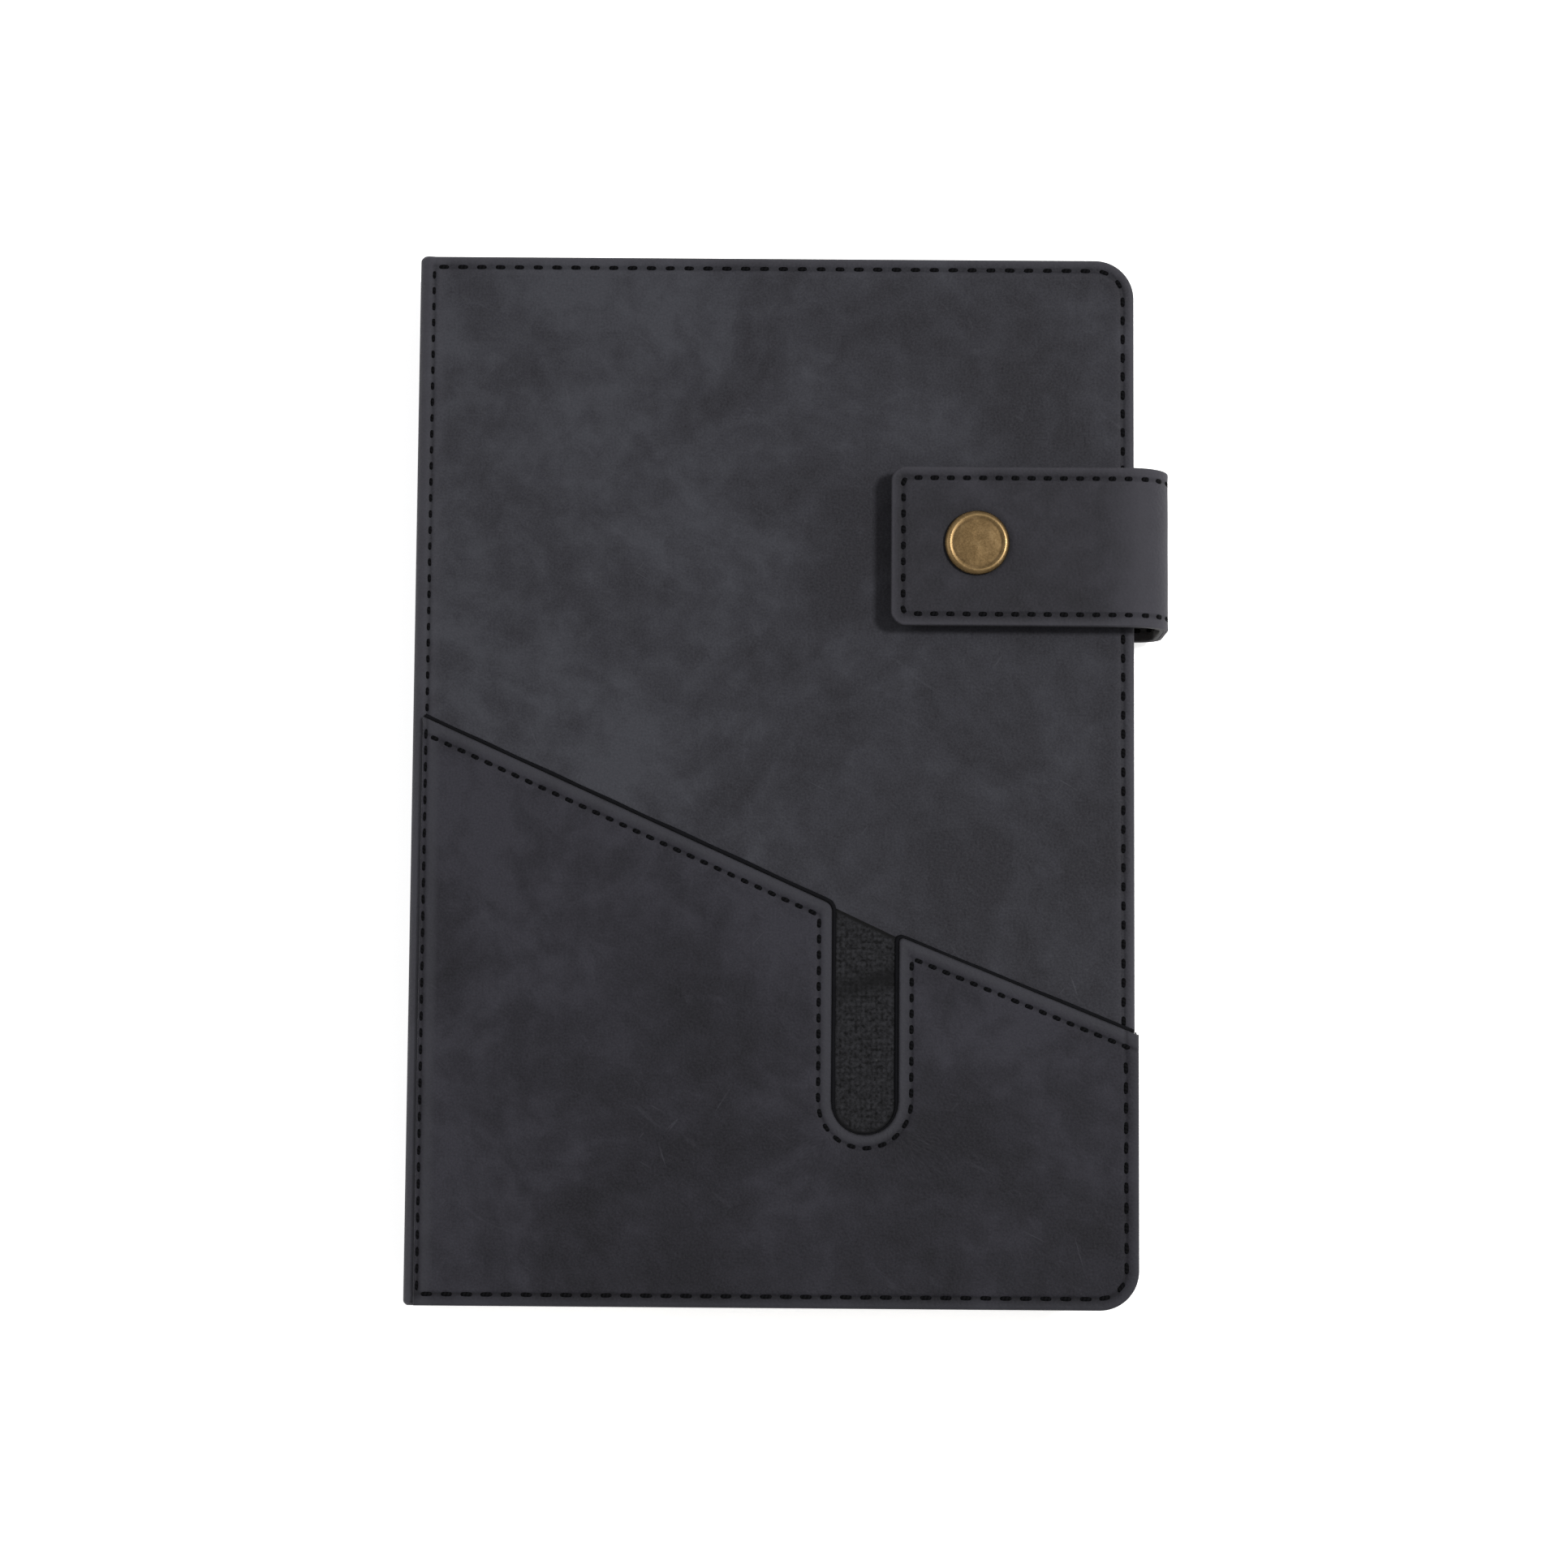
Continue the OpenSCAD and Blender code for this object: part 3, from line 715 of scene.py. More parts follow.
def cover_skin(name, path, seed):
    """A cover's leather: half of the spine, the fold, and the panel with its turned edge and seams."""
    edge = COVER_EDGE
    cs, cw = SPAN - CORNER_R, HALF_H - CORNER_R
    s_lines = merged([*np.linspace(0, SPINE_HALF, 5), *np.linspace(SPINE_HALF, FOLD_END, 11),
                      *offsets(SEAM_S, -0.8, -0.55, -0.38, -0.2, 0, 0.2, 0.38, 0.55, 0.8, 1.2, 2, 3.2),
                      *np.arange(SEAM_S + 5, cs, 2.2), cs, *(cs + edge.lines)])
    S, W = np.meshgrid(s_lines, both_sides(cw, 2.2, edge), indexing="ij")
    s, w, h, d, phi, m = round_corner(S, W, cs, cw, edge)
    on_top = m <= edge.top_end
    in_fold = step(s, SPINE_HALF - 1.5, SPINE_HALF + 0.6) * (1 - step(s, FOLD_END - 0.6, FOLD_END + 1.5))
    h = np.where(on_top, h, h * (1 - 0.42 * in_fold))
    panel = step(s, FOLD_END + 0.2, FOLD_END + 1.0)
    groove = dent(d, SEAM_D) * panel + np.where(np.abs(w) < SEAM_Y + 0.3, dent(s, SEAM_S), 0)
    groove = np.clip(groove, 0, 1) * on_top
    h = h - COVER_GROOVE * groove - np.where(on_top, 0.09 * (1 - step(d, 2.0, 2.9)) * panel, 0)
    inland = step(d, 2.5, 8) * step(s, FOLD_END + 1, FOLD_END + 12) * on_top
    h = h - 0.05 * (1 + ripple(s, w, seed)) * inland
    # painted highlight on the rounded edge, on the fold and on the ridges beside the seams
    rim = np.clip(0.8 * dent(d, 0.55, 0.6) + 0.75 * in_fold + 0.4 * dent(s, SEAM_S + 1.3, 0.9)
                  + 0.18 * dent(d, SEAM_D + 1.0, 0.6) + 0.15 * dent(d, SEAM_D - 0.9, 0.5), 0, 1)
    x = S - S_OF_X
    back = path.side < 0
    # the groove attribute paints shade into the seams' grooves, deeper along the tail; the tone adds a
    # painted falloff of light and patches, one of them a painted shadow
    return grid_piece(name, path.place(s, w, h), S, W, COVER, back, uv_from=300 * back, rim=rim,
                      groove=groove * (1 + 0.5 * in_shade(-W)),
                      tone=light_falloff_and_tone(x, W) + patches(x, W, COVER_PATCHES))


front_skin = cover_skin("front_skin", FRONT_PATH, 3)
declare(front_skin, ["front_leather", "front_hinge_leather"])
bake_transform(front_skin)
back_skin = cover_skin("back_skin", BACK_PATH, 4)
declare(back_skin, ["back_leather", "back_hinge_leather", "spine_leather"])
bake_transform(back_skin)

# the front panel's own seam stops where the pocket covers it
front_line = [(SEAM_S, float(mouth_y(SEAM_X)) + 0.6), (SEAM_S, SEAM_Y)]
head_line = [(SEAM_S, SEAM_Y), (SPAN - CORNER_R, SEAM_Y),
             *arc_points(SPAN - CORNER_R, HALF_H - CORNER_R, CORNER_R - SEAM_D, 90, 0),
             (SPAN - SEAM_D, float(mouth_y(FORE_X)) + 0.6)]
back_line = round_rect_line(SEAM_S, SPAN - SEAM_D, SEAM_Y, CORNER_R - SEAM_D)
spine_line = [(SEAM_S, -SEAM_Y), (SEAM_S, SEAM_Y)]
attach(seam("front_seam", [(front_line, None, 0.65), (head_line, 3.9, 0.88)],
             path_surface(FRONT_PATH, FRONT_THREAD)), "front")
back_lines = [(back_line, 3.5), (spine_line, None)]
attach(seam("back_seam", back_lines, path_surface(BACK_PATH, BACK_THREAD)), "back")


# ---------------------------------------------------------------- slash pocket and elastic
def pocket_grid(x1, cw, edge):
    """Grid lines of the pocket: from the mouth's slant, with square rings round the notch's end."""
    n = NOTCH_HALF
    rings = merged([0, 2, 4, 5.5, n, n + 0.15, n + 0.35, n + 0.6, n + 1.0, n + 1.5, n + 2.0,
                    *offsets(n + NOTCH_SEAM, -0.55, -0.38, -0.2, 0, 0.2, 0.38, 0.55, 0.8),
                    n + 4.2, 12.5, 14.2, 16])
    x_lines = merged([*offsets(POCKET_X0, 0, 0.15, 0.35),
                      *offsets(SEAM_X, -0.38, -0.2, 0, 0.2, 0.38, 0.55, 0.8, 1.2, 2, 3.2),
                      *np.arange(SEAM_X + 5, NOTCH_X - 16.5, 2.2), *(NOTCH_X - rings), *(NOTCH_X + rings),
                      *np.arange(NOTCH_X + 18, x1, 2.2), x1, *(x1 + edge.lines)], 0.05)
    hem = np.array([0, 0.12, 0.3, 0.55, 0.9, 1.3, 1.8, 2.2, 2.5,
                    *offsets(HEM_SEAM, -0.38, -0.2, 0, 0.2, 0.38, 0.6), 4.2, 5.0]) / MOUTH_COS
    level = -59.6  # below this the lines across are level
    fall = np.linspace(0, 1, 14)[1:-1]
    upper = np.linspace(level, NOTCH_ARC_Y, 5)[:-1]
    lower = np.concatenate([NOTCH_ARC_Y - rings, -np.arange(84.0, cw - 0.5, 2.2), [-cw], -(cw + edge.lines)])
    top = mouth_y(np.clip(x_lines, SPINE_X, FORE_X + 0.3))
    rows = [top - v for v in hem]
    rows += [top - hem[-1] + (level - top + hem[-1]) * f for f in fall]
    rows += [np.full_like(top, y) for y in (*upper, *lower)]
    Y = np.stack(rows, 1)
    X = np.repeat(x_lines[:, None], len(rows), 1)
    return X, Y, (top[:, None] - Y) * MOUTH_COS


def slash_pocket():
    """The pocket's leather, with the notch cut out, a lap over the fore edge and pressed seams."""
    edge = Edge(CORNER_R, 0.7, POCKET_UP + PANEL_T, 0.25, 0.5, SEAM_D + 0.3)
    x1, cw = POCKET_X1 - CORNER_R, HALF_H - CORNER_R
    X, Y, mouth_d = pocket_grid(x1, cw, edge)
    # the notch's round end: square rings turned into circles, fading back to the grid
    a, b = X - NOTCH_X, NOTCH_ARC_Y - Y
    aa = np.abs(a)
    m = np.maximum(aa, b)
    near = (b > 0) & (aa <= 16.01) & (b <= 16.01)
    angle = circle_angle(aa, b)
    k = 1 - step(m, 11.0, 16.0)
    X2 = np.where(near, NOTCH_X + a * (1 - k) + np.sign(a) * m * np.cos(angle) * k, X)
    Y2 = np.where(near, NOTCH_ARC_Y - (b * (1 - k) + m * np.sin(angle) * k), Y)
    notch_d = np.where(b > 0, m, aa) - NOTCH_HALF
    # round off the leather where the mouth meets the notch
    r = NOTCH_CORNER_R
    pa, pb = r - notch_d, r - mouth_d
    corner = (pa > 0) & (pb > 0) & (pa <= r + 1e-6) & (b < 0)
    pm, angle = np.maximum(pa, pb), circle_angle(pa, pb)
    X2 = np.where(corner, NOTCH_X + np.sign(a) * (NOTCH_HALF + r - pm * np.cos(angle)), X2)
    Y2 = np.where(corner, mouth_y(X2) - (r - pm * np.sin(angle)) / MOUTH_COS, Y2)
    free_d = np.minimum(np.where(notch_d >= -1e-6, notch_d, 9), mouth_d)
    free_d = np.where(corner, r - pm, free_d)  # distance from the nearest cut edge
    x, y, h, d, phi, mo = round_corner(X2, Y2, x1, cw, edge)
    h = np.where(Y2 > -cw, np.where(X2 > x1, edge(np.maximum(X2 - x1, 0))[1], 0), h)
    on_top = mo <= edge.top_end
    # the lap over the fore edge is full height there and only the pocket's own thickness at the tail
    share = 1 - step(phi, math.radians(4), math.radians(50)) * (mo > 0) * (Y2 < -cw)
    depth = (POCKET_UP - 0.08) + (edge.depth - POCKET_UP + 0.08) * share
    h = np.where(on_top, h, -0.7 + (h + 0.7) * (depth - 0.7) / (edge.depth - 0.7))
    fore_d = np.where(mo > 0, d, 9)
    seam_at = np.where((phi < 0.8) | (Y2 > -cw), SEAM_D + 0.35, SEAM_D)
    groove = dent(np.where(on_top, fore_d, 9), seam_at)
    groove = np.maximum(groove, dent(X2, SEAM_X) * (y > -SEAM_Y - 0.3))
    groove = np.maximum(groove, dent(mouth_d, HEM_SEAM) * (aa > NOTCH_HALF + NOTCH_SEAM - 0.2))
    groove = np.maximum(groove, dent(notch_d, NOTCH_SEAM) * (mouth_d > HEM_SEAM - 0.2))
    groove = np.clip(groove, 0, 1) * on_top
    inner_d = np.minimum(np.minimum(free_d, fore_d), X2 - POCKET_X0)
    h = h - POCKET_GROOVE * groove - rounded(free_d, 0.42, 0.42) - rounded(X2 - POCKET_X0, 0.35, 0.3)
    h = h - 0.04 * (1 + ripple(X2, Y2, 8, 30.0)) * step(inner_d, 3.5, 9) * on_top
    verts = FRONT_PATH.place(x + S_OF_X, y, h + POCKET_UP)
    mid_m = (m[:-1, :-1] + m[1:, :-1] + m[:-1, 1:] + m[1:, 1:]) / 4
    mid_b = (b[:-1, :-1] + b[1:, :-1] + b[:-1, 1:] + b[1:, 1:]) / 4
    mid_a = np.abs((a[:-1, :-1] + a[1:, 1:]) / 2)
    cut_out = np.where(mid_b > 0, mid_m, mid_a) < NOTCH_HALF
    # painted highlight on the cut edges, the hem band, the lap over the fore edge and the ridge by the spine
    # seam
    rim = np.clip(0.85 * dent(free_d, 0.95, 0.85) + 0.7 * dent(fore_d, 0.6, 0.7)
                  + 0.18 * step(free_d, 0, 0.5) * (1 - step(free_d, 2.4, 3.0))
                  + 0.85 * dent(X2, SEAM_X + 1.5, 1.0) * on_top
                  + 0.7 * (1 - step(X2, SEAM_X - 1.2, SEAM_X - 0.5)) * on_top, 0, 1)
    by_mouth = 1 - step(mouth_d / MOUTH_COS, 10, 36)
    # the groove attribute paints shade into the seams' grooves, deeper along the tail; the tone takes a share
    # of the painted light falloff
    return grid_piece("slash_pocket_skin", verts, X, Y, POCKET, True, ~cut_out, rim=rim,
                      groove=groove * (1 + 1.3 * in_shade(-Y2)),
                      tone=0.25 * light_falloff_and_tone(X, Y) + patches(X, Y, POCKET_PATCHES) + 1.1 * by_mouth)


pocket = slash_pocket()
thicken(pocket, 0.62)
declare(pocket, ["slash_pocket"], "front")


def mouth_point(x, off):
    """A point at a distance up the cover from the mouth."""
    return x, float(mouth_y(x)) + off


hem_drop = -HEM_SEAM / MOUTH_COS
notch_r = NOTCH_HALF + NOTCH_SEAM
hem_left = [mouth_point(SEAM_X + 0.4, hem_drop), mouth_point(NOTCH_X - notch_r, hem_drop)]
hem_right = [mouth_point(NOTCH_X + notch_r, hem_drop), mouth_point(FORE_X - 0.6, hem_drop)]
notch_line = [hem_left[1], (NOTCH_X - notch_r, NOTCH_ARC_Y),
              *arc_points(NOTCH_X, NOTCH_ARC_Y, notch_r, 180, 360, 24), hem_right[0]]
tail_line = [(SEAM_X, -SEAM_Y), (POCKET_X1 - CORNER_R, -SEAM_Y),
             *arc_points(POCKET_X1 - CORNER_R, CORNER_R - HALF_H, CORNER_R - SEAM_D - 0.2, -90, 0),
             (POCKET_X1 - SEAM_D - 0.35, float(mouth_y(FORE_X)) + hem_drop - 1.5)]
side_line = [mouth_point(SEAM_X, -1.6), (SEAM_X, -SEAM_Y)]
pocket_lines = [(hem_left, 3.0), (hem_right, 3.0), (notch_line, 3.2), (tail_line, 4.0),
                (side_line, None, 0.65)]
thread_z = flat_surface(lambda x, y: TOP_Z + POCKET_UP + POCKET_THREAD, 1)
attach(seam("pocket_seam", pocket_lines, thread_z, length=2.15, width=1.05), "front")


def edge_paint_and_shadow():
    """The pocket's cut edge: a thin dark bead along its mouth and round the notch, in part its edge paint, in
    part a painted shadow line on the cover beside the edge.
    """
    r, out = 0.48, 0.33
    half = NOTCH_HALF - out
    c = NOTCH_CORNER_R

    def corner(side, angles):
        y = float(mouth_y(NOTCH_X + side * NOTCH_HALF)) + out
        lean = -side * MOUTH_SLOPE
        bend = [(NOTCH_X + side * (half + c * (1 - math.sin(a))),
                 y - c * (1 - math.cos(a)) + c * lean * (1 - math.sin(a))) for a in angles]
        return (NOTCH_X + side * (half + c + 0.4), y + (0.4 + c) * lean), bend

    angles = np.linspace(0.25, math.pi / 2, 7)
    left, left_bend = corner(-1, angles)
    right, right_bend = corner(1, angles[::-1])
    arc = arc_points(NOTCH_X, NOTCH_ARC_Y, half, 180, 360, 28)
    line = np.array([mouth_point(POCKET_X0 + 0.4, out), left, *left_bend, *arc, *right_bend, right,
                     mouth_point(FORE_X - 0.3, out)])
    lengths = run_lengths(line)
    at = np.linspace(0, lengths[-1], 420)
    p = point_at(at, lengths, line)
    d = np.gradient(p, axis=0)
    d /= np.hypot(*d.T)[:, None]
    off = np.stack([-d[:, 1], d[:, 0]], 1)
    sides = 8
    angle = np.arange(sides) / sides * TURN
    in_notch = (np.abs(p[:, 0] - NOTCH_X) < NOTCH_HALF + 1) * step(NOTCH_ARC_Y + 1 - p[:, 1], 0, 6)
    fat = r * (1 + 0.08 * ripple(at, 0 * at, 41, 9.0)) * (1 - 0.45 * in_notch)
    p = p - off * (r - fat)[:, None]  # it stays against the leather
    flat = p[:, None, :] + off[:, None, :] * (np.cos(angle) * fat[:, None])[:, :, None]
    z = TOP_Z + 0.34 + 0.34 * np.sin(angle)[None, :] + 0 * at[:, None]
    verts = np.concatenate([flat, z[:, :, None]], -1).reshape(-1, 3)
    return make_piece("pocket_edge_paint_and_shadow", verts, closed_tube(0, len(p), sides), PAINT_AND_SHADOW)


declare(edge_paint_and_shadow(), [], "front")


def elastic_panel():
    """The knitted elastic in the notch: real cross ribs, a slack crease, and a turned hem at its top, with
    painted shade along its sides, under its top and in the crease.
    """
    reach = NOTCH_HALF + 3.3
    bottom = NOTCH_ARC_Y - NOTCH_HALF - 2.6
    x = np.linspace(NOTCH_X - reach, NOTCH_X + reach, 61)
    top = (mouth_y(x) - 0.35)[:, None]
    Y = top + (bottom - top) * np.linspace(0, 1, 300)[None, :]
    X = np.repeat(x[:, None], 300, 1)
    from_top = top - Y
    across = (X - NOTCH_X) / NOTCH_HALF
    rib_pitch, cord_pitch = 0.95, 1.05
    rib_y = Y + 0.14 * np.sin(X * 2.1) + 0.34 * ripple(X, Y, 31, 4.5)
    cord_x = X + 0.42 * ripple(X, Y, 32, 3.5)
    rib = 0.5 + 0.5 * np.cos(TURN * rib_y / rib_pitch)
    cord = 0.5 + 0.5 * np.cos(TURN * cord_x / cord_pitch + np.pi * (np.floor(Y / rib_pitch) % 2))
    z = ELASTIC_TOP - 0.13 - 0.07 * (1 - rib * (0.7 + 0.3 * cord)) + 0.03 * ripple(X, Y, 33, 2.2)
    z = z + 0.05 * dent(from_top, 1.0, 0.9) - 0.1 * np.clip(1 - from_top / 0.4, 0, 1) ** 2
    z = z + 0.05 * np.cos(np.clip(across, -1, 1) * math.pi / 2)
    crease = dent(Y, HALF_H - 149.6 + 1.8 * across, 2.1) * (0.75 + 0.25 * np.clip(across, -1, 1))
    z = z - 0.12 * crease
    side, low = np.abs(X - NOTCH_X), NOTCH_ARC_Y - Y
    from_middle = np.where(low > 0, np.hypot(side, low), side)
    # painted shade where the pocket's walls and mouth overhang the elastic, and in its crease
    shade = np.maximum(step(from_middle, 5.6, 6.4), 1 - step(from_top, 0.4, 1.1))
    shade = np.maximum(shade, 0.9 * crease)
    return grid_piece("pen_elastic_knit", np.stack([X, Y, z], -1), X, Y, ELASTIC, True, groove=shade)


elastic = declare(elastic_panel(), ["pen_elastic"], "front")


# ---------------------------------------------------------------- inside: linings, sleeve, pocket, card slots
IN_R = CORNER_R - LINING_EDGE
IN_FORE_X = FORE_X - LINING_EDGE
IN_HALF = HALF_H - LINING_EDGE
IN_SEAM = SEAM_D - LINING_EDGE
FOLD_IN = 1.5
LINING_RIM = Edge(IN_R, 0.12, 0.36, 0.1, 0.3, IN_SEAM, 3)
FRONT_RUN = FRONT_IN - FOLD_IN - TOP_Z / 2
BACK_RUN = TOP_Z / 2 - BACK_IN - FOLD_IN


def lining(name, path, end, uv_from):
    """A lining from the middle of the spine, over the fold, to its round corners by the fore edge."""
    cs, cw = end - IN_R, IN_HALF - IN_R
    arc_s, arc_length = path.knots[1][:2]
    s_lines = merged([0.0, *np.arange(3, cs, 3.0), cs, *(cs + LINING_RIM.lines),
                      *np.linspace(arc_s, arc_s + arc_length, 9)])
    S, W = np.meshgrid(s_lines, both_sides(cw, 3.0, LINING_RIM), indexing="ij")
    s, w, h, d, _, m = round_corner(S, W, cs, cw, LINING_RIM)
    groove = dent(d, IN_SEAM) * (m <= LINING_RIM.top_end)
    return grid_piece(name, path.place(s, w, h - INNER_GROOVE * groove), S, W, LINING, path.side < 0,
                      uv_from=uv_from, rim=dent(d, 0.0, 0.7), groove=groove)


def lining_shape(run, heading):
    """A lining's path, and its length along it. heading is up (1) for the front, down (-1) for the back."""
    parts = [(run, 0), (FOLD_IN, -90 * heading), (IN_FORE_X, 0)]
    path = Path(SPINE_IN, TOP_Z / 2, 90 * heading, parts, -heading)
    return path, run + math.pi / 2 * FOLD_IN + IN_FORE_X - (SPINE_IN + FOLD_IN)


front_path, front_end = lining_shape(FRONT_RUN, 1)
front_lining = lining("front_lining_cloth", front_path, front_end, 0)
declare(front_lining, ["front_lining"])
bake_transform(front_lining)
back_path, back_end = lining_shape(BACK_RUN, -1)
back_lining = lining("back_lining_cloth", back_path, back_end, 300)
declare(back_lining, ["back_lining", "spine_lining"])
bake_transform(back_lining)


def fold_roll(name, mirrored):
    """The leather turned in at the head and tail of a fold: a soft roll between the skin and the lining."""
    a = np.radians(np.linspace(180, 90, 9))
    reach, z = 1.18, TOP_Z - FOLD_R
    outer = [(0.98, z - 1.9), *[(FOLD_R + reach * math.cos(t), z + reach * math.sin(t)) for t in a],
             (4.1, z + reach)]
    cx, cz, r = SPINE_IN + FOLD_IN - SPINE_X, FRONT_IN - FOLD_IN, FOLD_IN + 0.34
    inner = [(cx - r, cz + 0.05), *[(cx + r * math.cos(t), cz + r * math.sin(t)) for t in a],
             (4.1, cz + r)]
    outer, inner = np.array(outer), np.array(inner)
    middle = (outer + inner) / 2
    n, m = len(outer), 2 * len(outer)
    ring = np.concatenate([outer, inner[::-1]])
    centre = np.concatenate([middle, middle[::-1]])
    stations = ((0.34, 0.45), (0.42, 0.75), (0.62, 0.93), (1.0, 1.0), (3.0, 1.0), (7.0, 0.9))
    verts, faces = [], []
    for end in (1, -1):
        base = len(verts)
        for back, share in stations:
            for x, z in centre + (ring - centre) * share:
                verts.append((SPINE_X + x, end * (HALF_H - back), TOP_Z - z if mirrored else z))
        flip = (end > 0) != mirrored
        tube = closed_tube(base, len(stations), m)[:-2]
        faces += [quad[::-1] for quad in tube] if flip else tube
        for at, turned in ((base, not flip), (base + (len(stations) - 1) * m, flip)):
            for j in range(n - 1):
                quad = (at + j, at + j + 1, at + m - 2 - j, at + m - 1 - j)
                faces.append(quad[::-1] if turned else quad)
    verts = np.array(verts)
    uv = np.stack([verts[:, 0] + 500, verts[:, 1] + verts[:, 2]], 1)
    return declare(make_piece(name, verts, faces, COVER, uv), [])


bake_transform(fold_roll("front_fold_roll", False))
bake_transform(fold_roll("back_fold_roll", True))


def slab(name, node, up, body, t=None):
    """A sewn-down flat layer at its CAD node's place: round fore corners and a stitched free edge."""
    lo, hi = box(node)
    t = t or hi[2] - lo[2]
    z = hi[2] if up > 0 else lo[2]
    edge = Edge(IN_R, min(0.2, t * 0.4), t - 0.02, 0.05, 0.3, IN_SEAM, 3)
    cs, cw = IN_FORE_X - IN_R, IN_HALF - IN_R
    full = hi[1] > IN_HALF - 1  # up to the head, or else with its free edge below it
    s_lines = merged([*offsets(lo[0], 0, 0.1, 0.25), *offsets(lo[0] + INNER_HEM, -0.5, -0.3, 0, 0.3, 0.5),
                      *np.arange(lo[0] + 4, cs, 3.0), cs, *(cs + edge.lines)])
    w_lines = both_sides(cw, 3.0, edge)
    if not full:
        half = np.arange(0, cw, 3.0)
        low = [v for v in (*-half, -cw, *-(cw + edge.lines), *half) if v < hi[1] - 3.2]
        w_lines = merged(low + offsets(hi[1], 0, -0.1, -0.25, -1.5, -1.7, -2, -2.3, -2.5))
    S, W = np.meshgrid(s_lines, w_lines, indexing="ij")
    s, w, h, d, _, m = round_corner(S, W, cs, cw, edge)
    on_top = m <= edge.top_end
    free = (s - lo[0]) if full else (hi[1] - w)
    groove = np.maximum(dent(d, IN_SEAM), dent(free, INNER_HEM)) * on_top
    if not full:
        groove = np.maximum(groove, dent(s - lo[0], INNER_HEM) * on_top)
    h = h - rounded(np.minimum(free, s - lo[0]), 0.25, 0.18) - INNER_GROOVE * groove
    # painted highlight on the panel's edges and free edge, and painted shade in its seams' grooves
    piece = grid_piece(name, np.stack([s, w, z + up * h], -1), S, W, INNER, up < 0,
                       rim=np.maximum(dent(d, 0.0, 0.7), dent(free, 0.0, 0.9)), groove=groove)
    thicken(piece, 0.8 * t)
    declare(piece, [node], body)


SLOTS = ("upper", "middle", "lower")
slab("sleeve_panel", "back_sleeve", 1, "back", 0.6)
slab("slip_pocket_panel", "slip_pocket", -1, "front")
for which in SLOTS:
    slab(f"card_slot_{which}_panel", f"card_slot_{which}", -1, "front")

SLOT_X = box("card_slot_upper")[0][0]
SLOT_TOPS = [box(f"card_slot_{which}")[1][1] for which in SLOTS]
SLOT_Z = [box(f"card_slot_{which}")[0][2] for which in SLOTS]


def inside_front_z(x, y):
    """The lowest layer on the front panel's inner side at this place."""
    z = FRONT_IN if x < SLIP_X else SLIP_Z
    if x > SLOT_X:
        for top, low in zip(SLOT_TOPS, SLOT_Z):
            if y < top:
                z = low
    return z - INNER_THREAD


def inside_back_z(x, y):
    return (BACK_IN if x < SLEEVE_X else SLEEVE_Z) + INNER_THREAD


rim_line = round_rect_line(SPINE_X + 6.0, FORE_X - SEAM_D, SEAM_Y, CORNER_R - SEAM_D)
slip_line = [(SLIP_X + INNER_HEM, SEAM_Y - 0.5), (SLIP_X + INNER_HEM, SLOT_TOPS[0] + 0.5)]
slot_side = [(SLOT_X + INNER_HEM, SLOT_TOPS[0] - INNER_HEM), (SLOT_X + INNER_HEM, 0.5 - SEAM_Y)]
slot_lines = [[(SLOT_X + INNER_HEM, t - INNER_HEM), (FORE_X - SEAM_D - 1, t - INNER_HEM)] for t in SLOT_TOPS]
sleeve_line = [(SLEEVE_X + INNER_HEM, 0.5 - SEAM_Y), (SLEEVE_X + INNER_HEM, SEAM_Y - 0.5)]
front_lines = [(rim_line, 3.5), *[(line, 3.2) for line in (slip_line, slot_side, *slot_lines)]]
back_lines = [(rim_line, 3.5), (sleeve_line, 3.2)]
fine = {"width": 0.7, "height": 0.4}
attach(seam("inside_front_seam", front_lines, flat_surface(inside_front_z, -1), **fine), "front")
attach(seam("inside_back_seam", back_lines, flat_surface(inside_back_z, 1), **fine), "back")


# ---------------------------------------------------------------- refill
def sheets(name, lo, hi, count, material, bend_mm=0.0, gap=0.02, loose=0.09):
    """A stack of thin closed boxes, whose three open edges are off by a hair from their neighbours'."""
    thick = (hi[2] - lo[2]) / count
    xs = np.linspace(0, bend_mm, 13) if bend_mm else np.array([0.0])
    verts, faces, uv = [], [], []
    for k in range(count):
        z0, z1 = lo[2] + k * thick + gap / 2, lo[2] + (k + 1) * thick - gap / 2
        fore = hi[0] - abs(rng.normal(0, loose))
        y0, y1 = lo[1] + abs(rng.normal(0, loose)), hi[1] - abs(rng.normal(0, loose))
        faces += closed_tube(len(verts), len(xs) + 1, 4)
        for x in (*(lo[0] + xs), fore):
            verts += [(x, y0, z0), (x, y1, z0), (x, y1, z1), (x, y0, z1)]
            uv += [(x, y0), (x, y1), (x, y1), (x, y0)]
    return make_piece(name, verts, faces, material, uv, smooth=False)


BIND = 9.0  # how far from the spine each leaf has extra cuts across it
declare(sheets("page_block", PAGE_LO, PAGE_HI, 26, RULED), ["refill_pages"], "back")
for name, node, body, count, material, slot, *fit in (
    ("leaves_lower_sheets", "leaves_lower", "leaves_lower", 5, RULED, "paper"),
    ("leaves_middle_sheets", "leaves_middle", "leaves_middle", 5, RULED, "paper"),
    ("leaves_upper_sheets", "leaves_upper", "leaves_upper", 5, RULED, "paper"),
    ("front_card", "refill_front_card", "refill_card", 1, CARD, "refill_card", 0.0, 0.0),
):
    lo, hi = box(node)
    piece = declare(sheets(name, lo, hi, count, material, BIND, *fit), [node])
    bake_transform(piece)


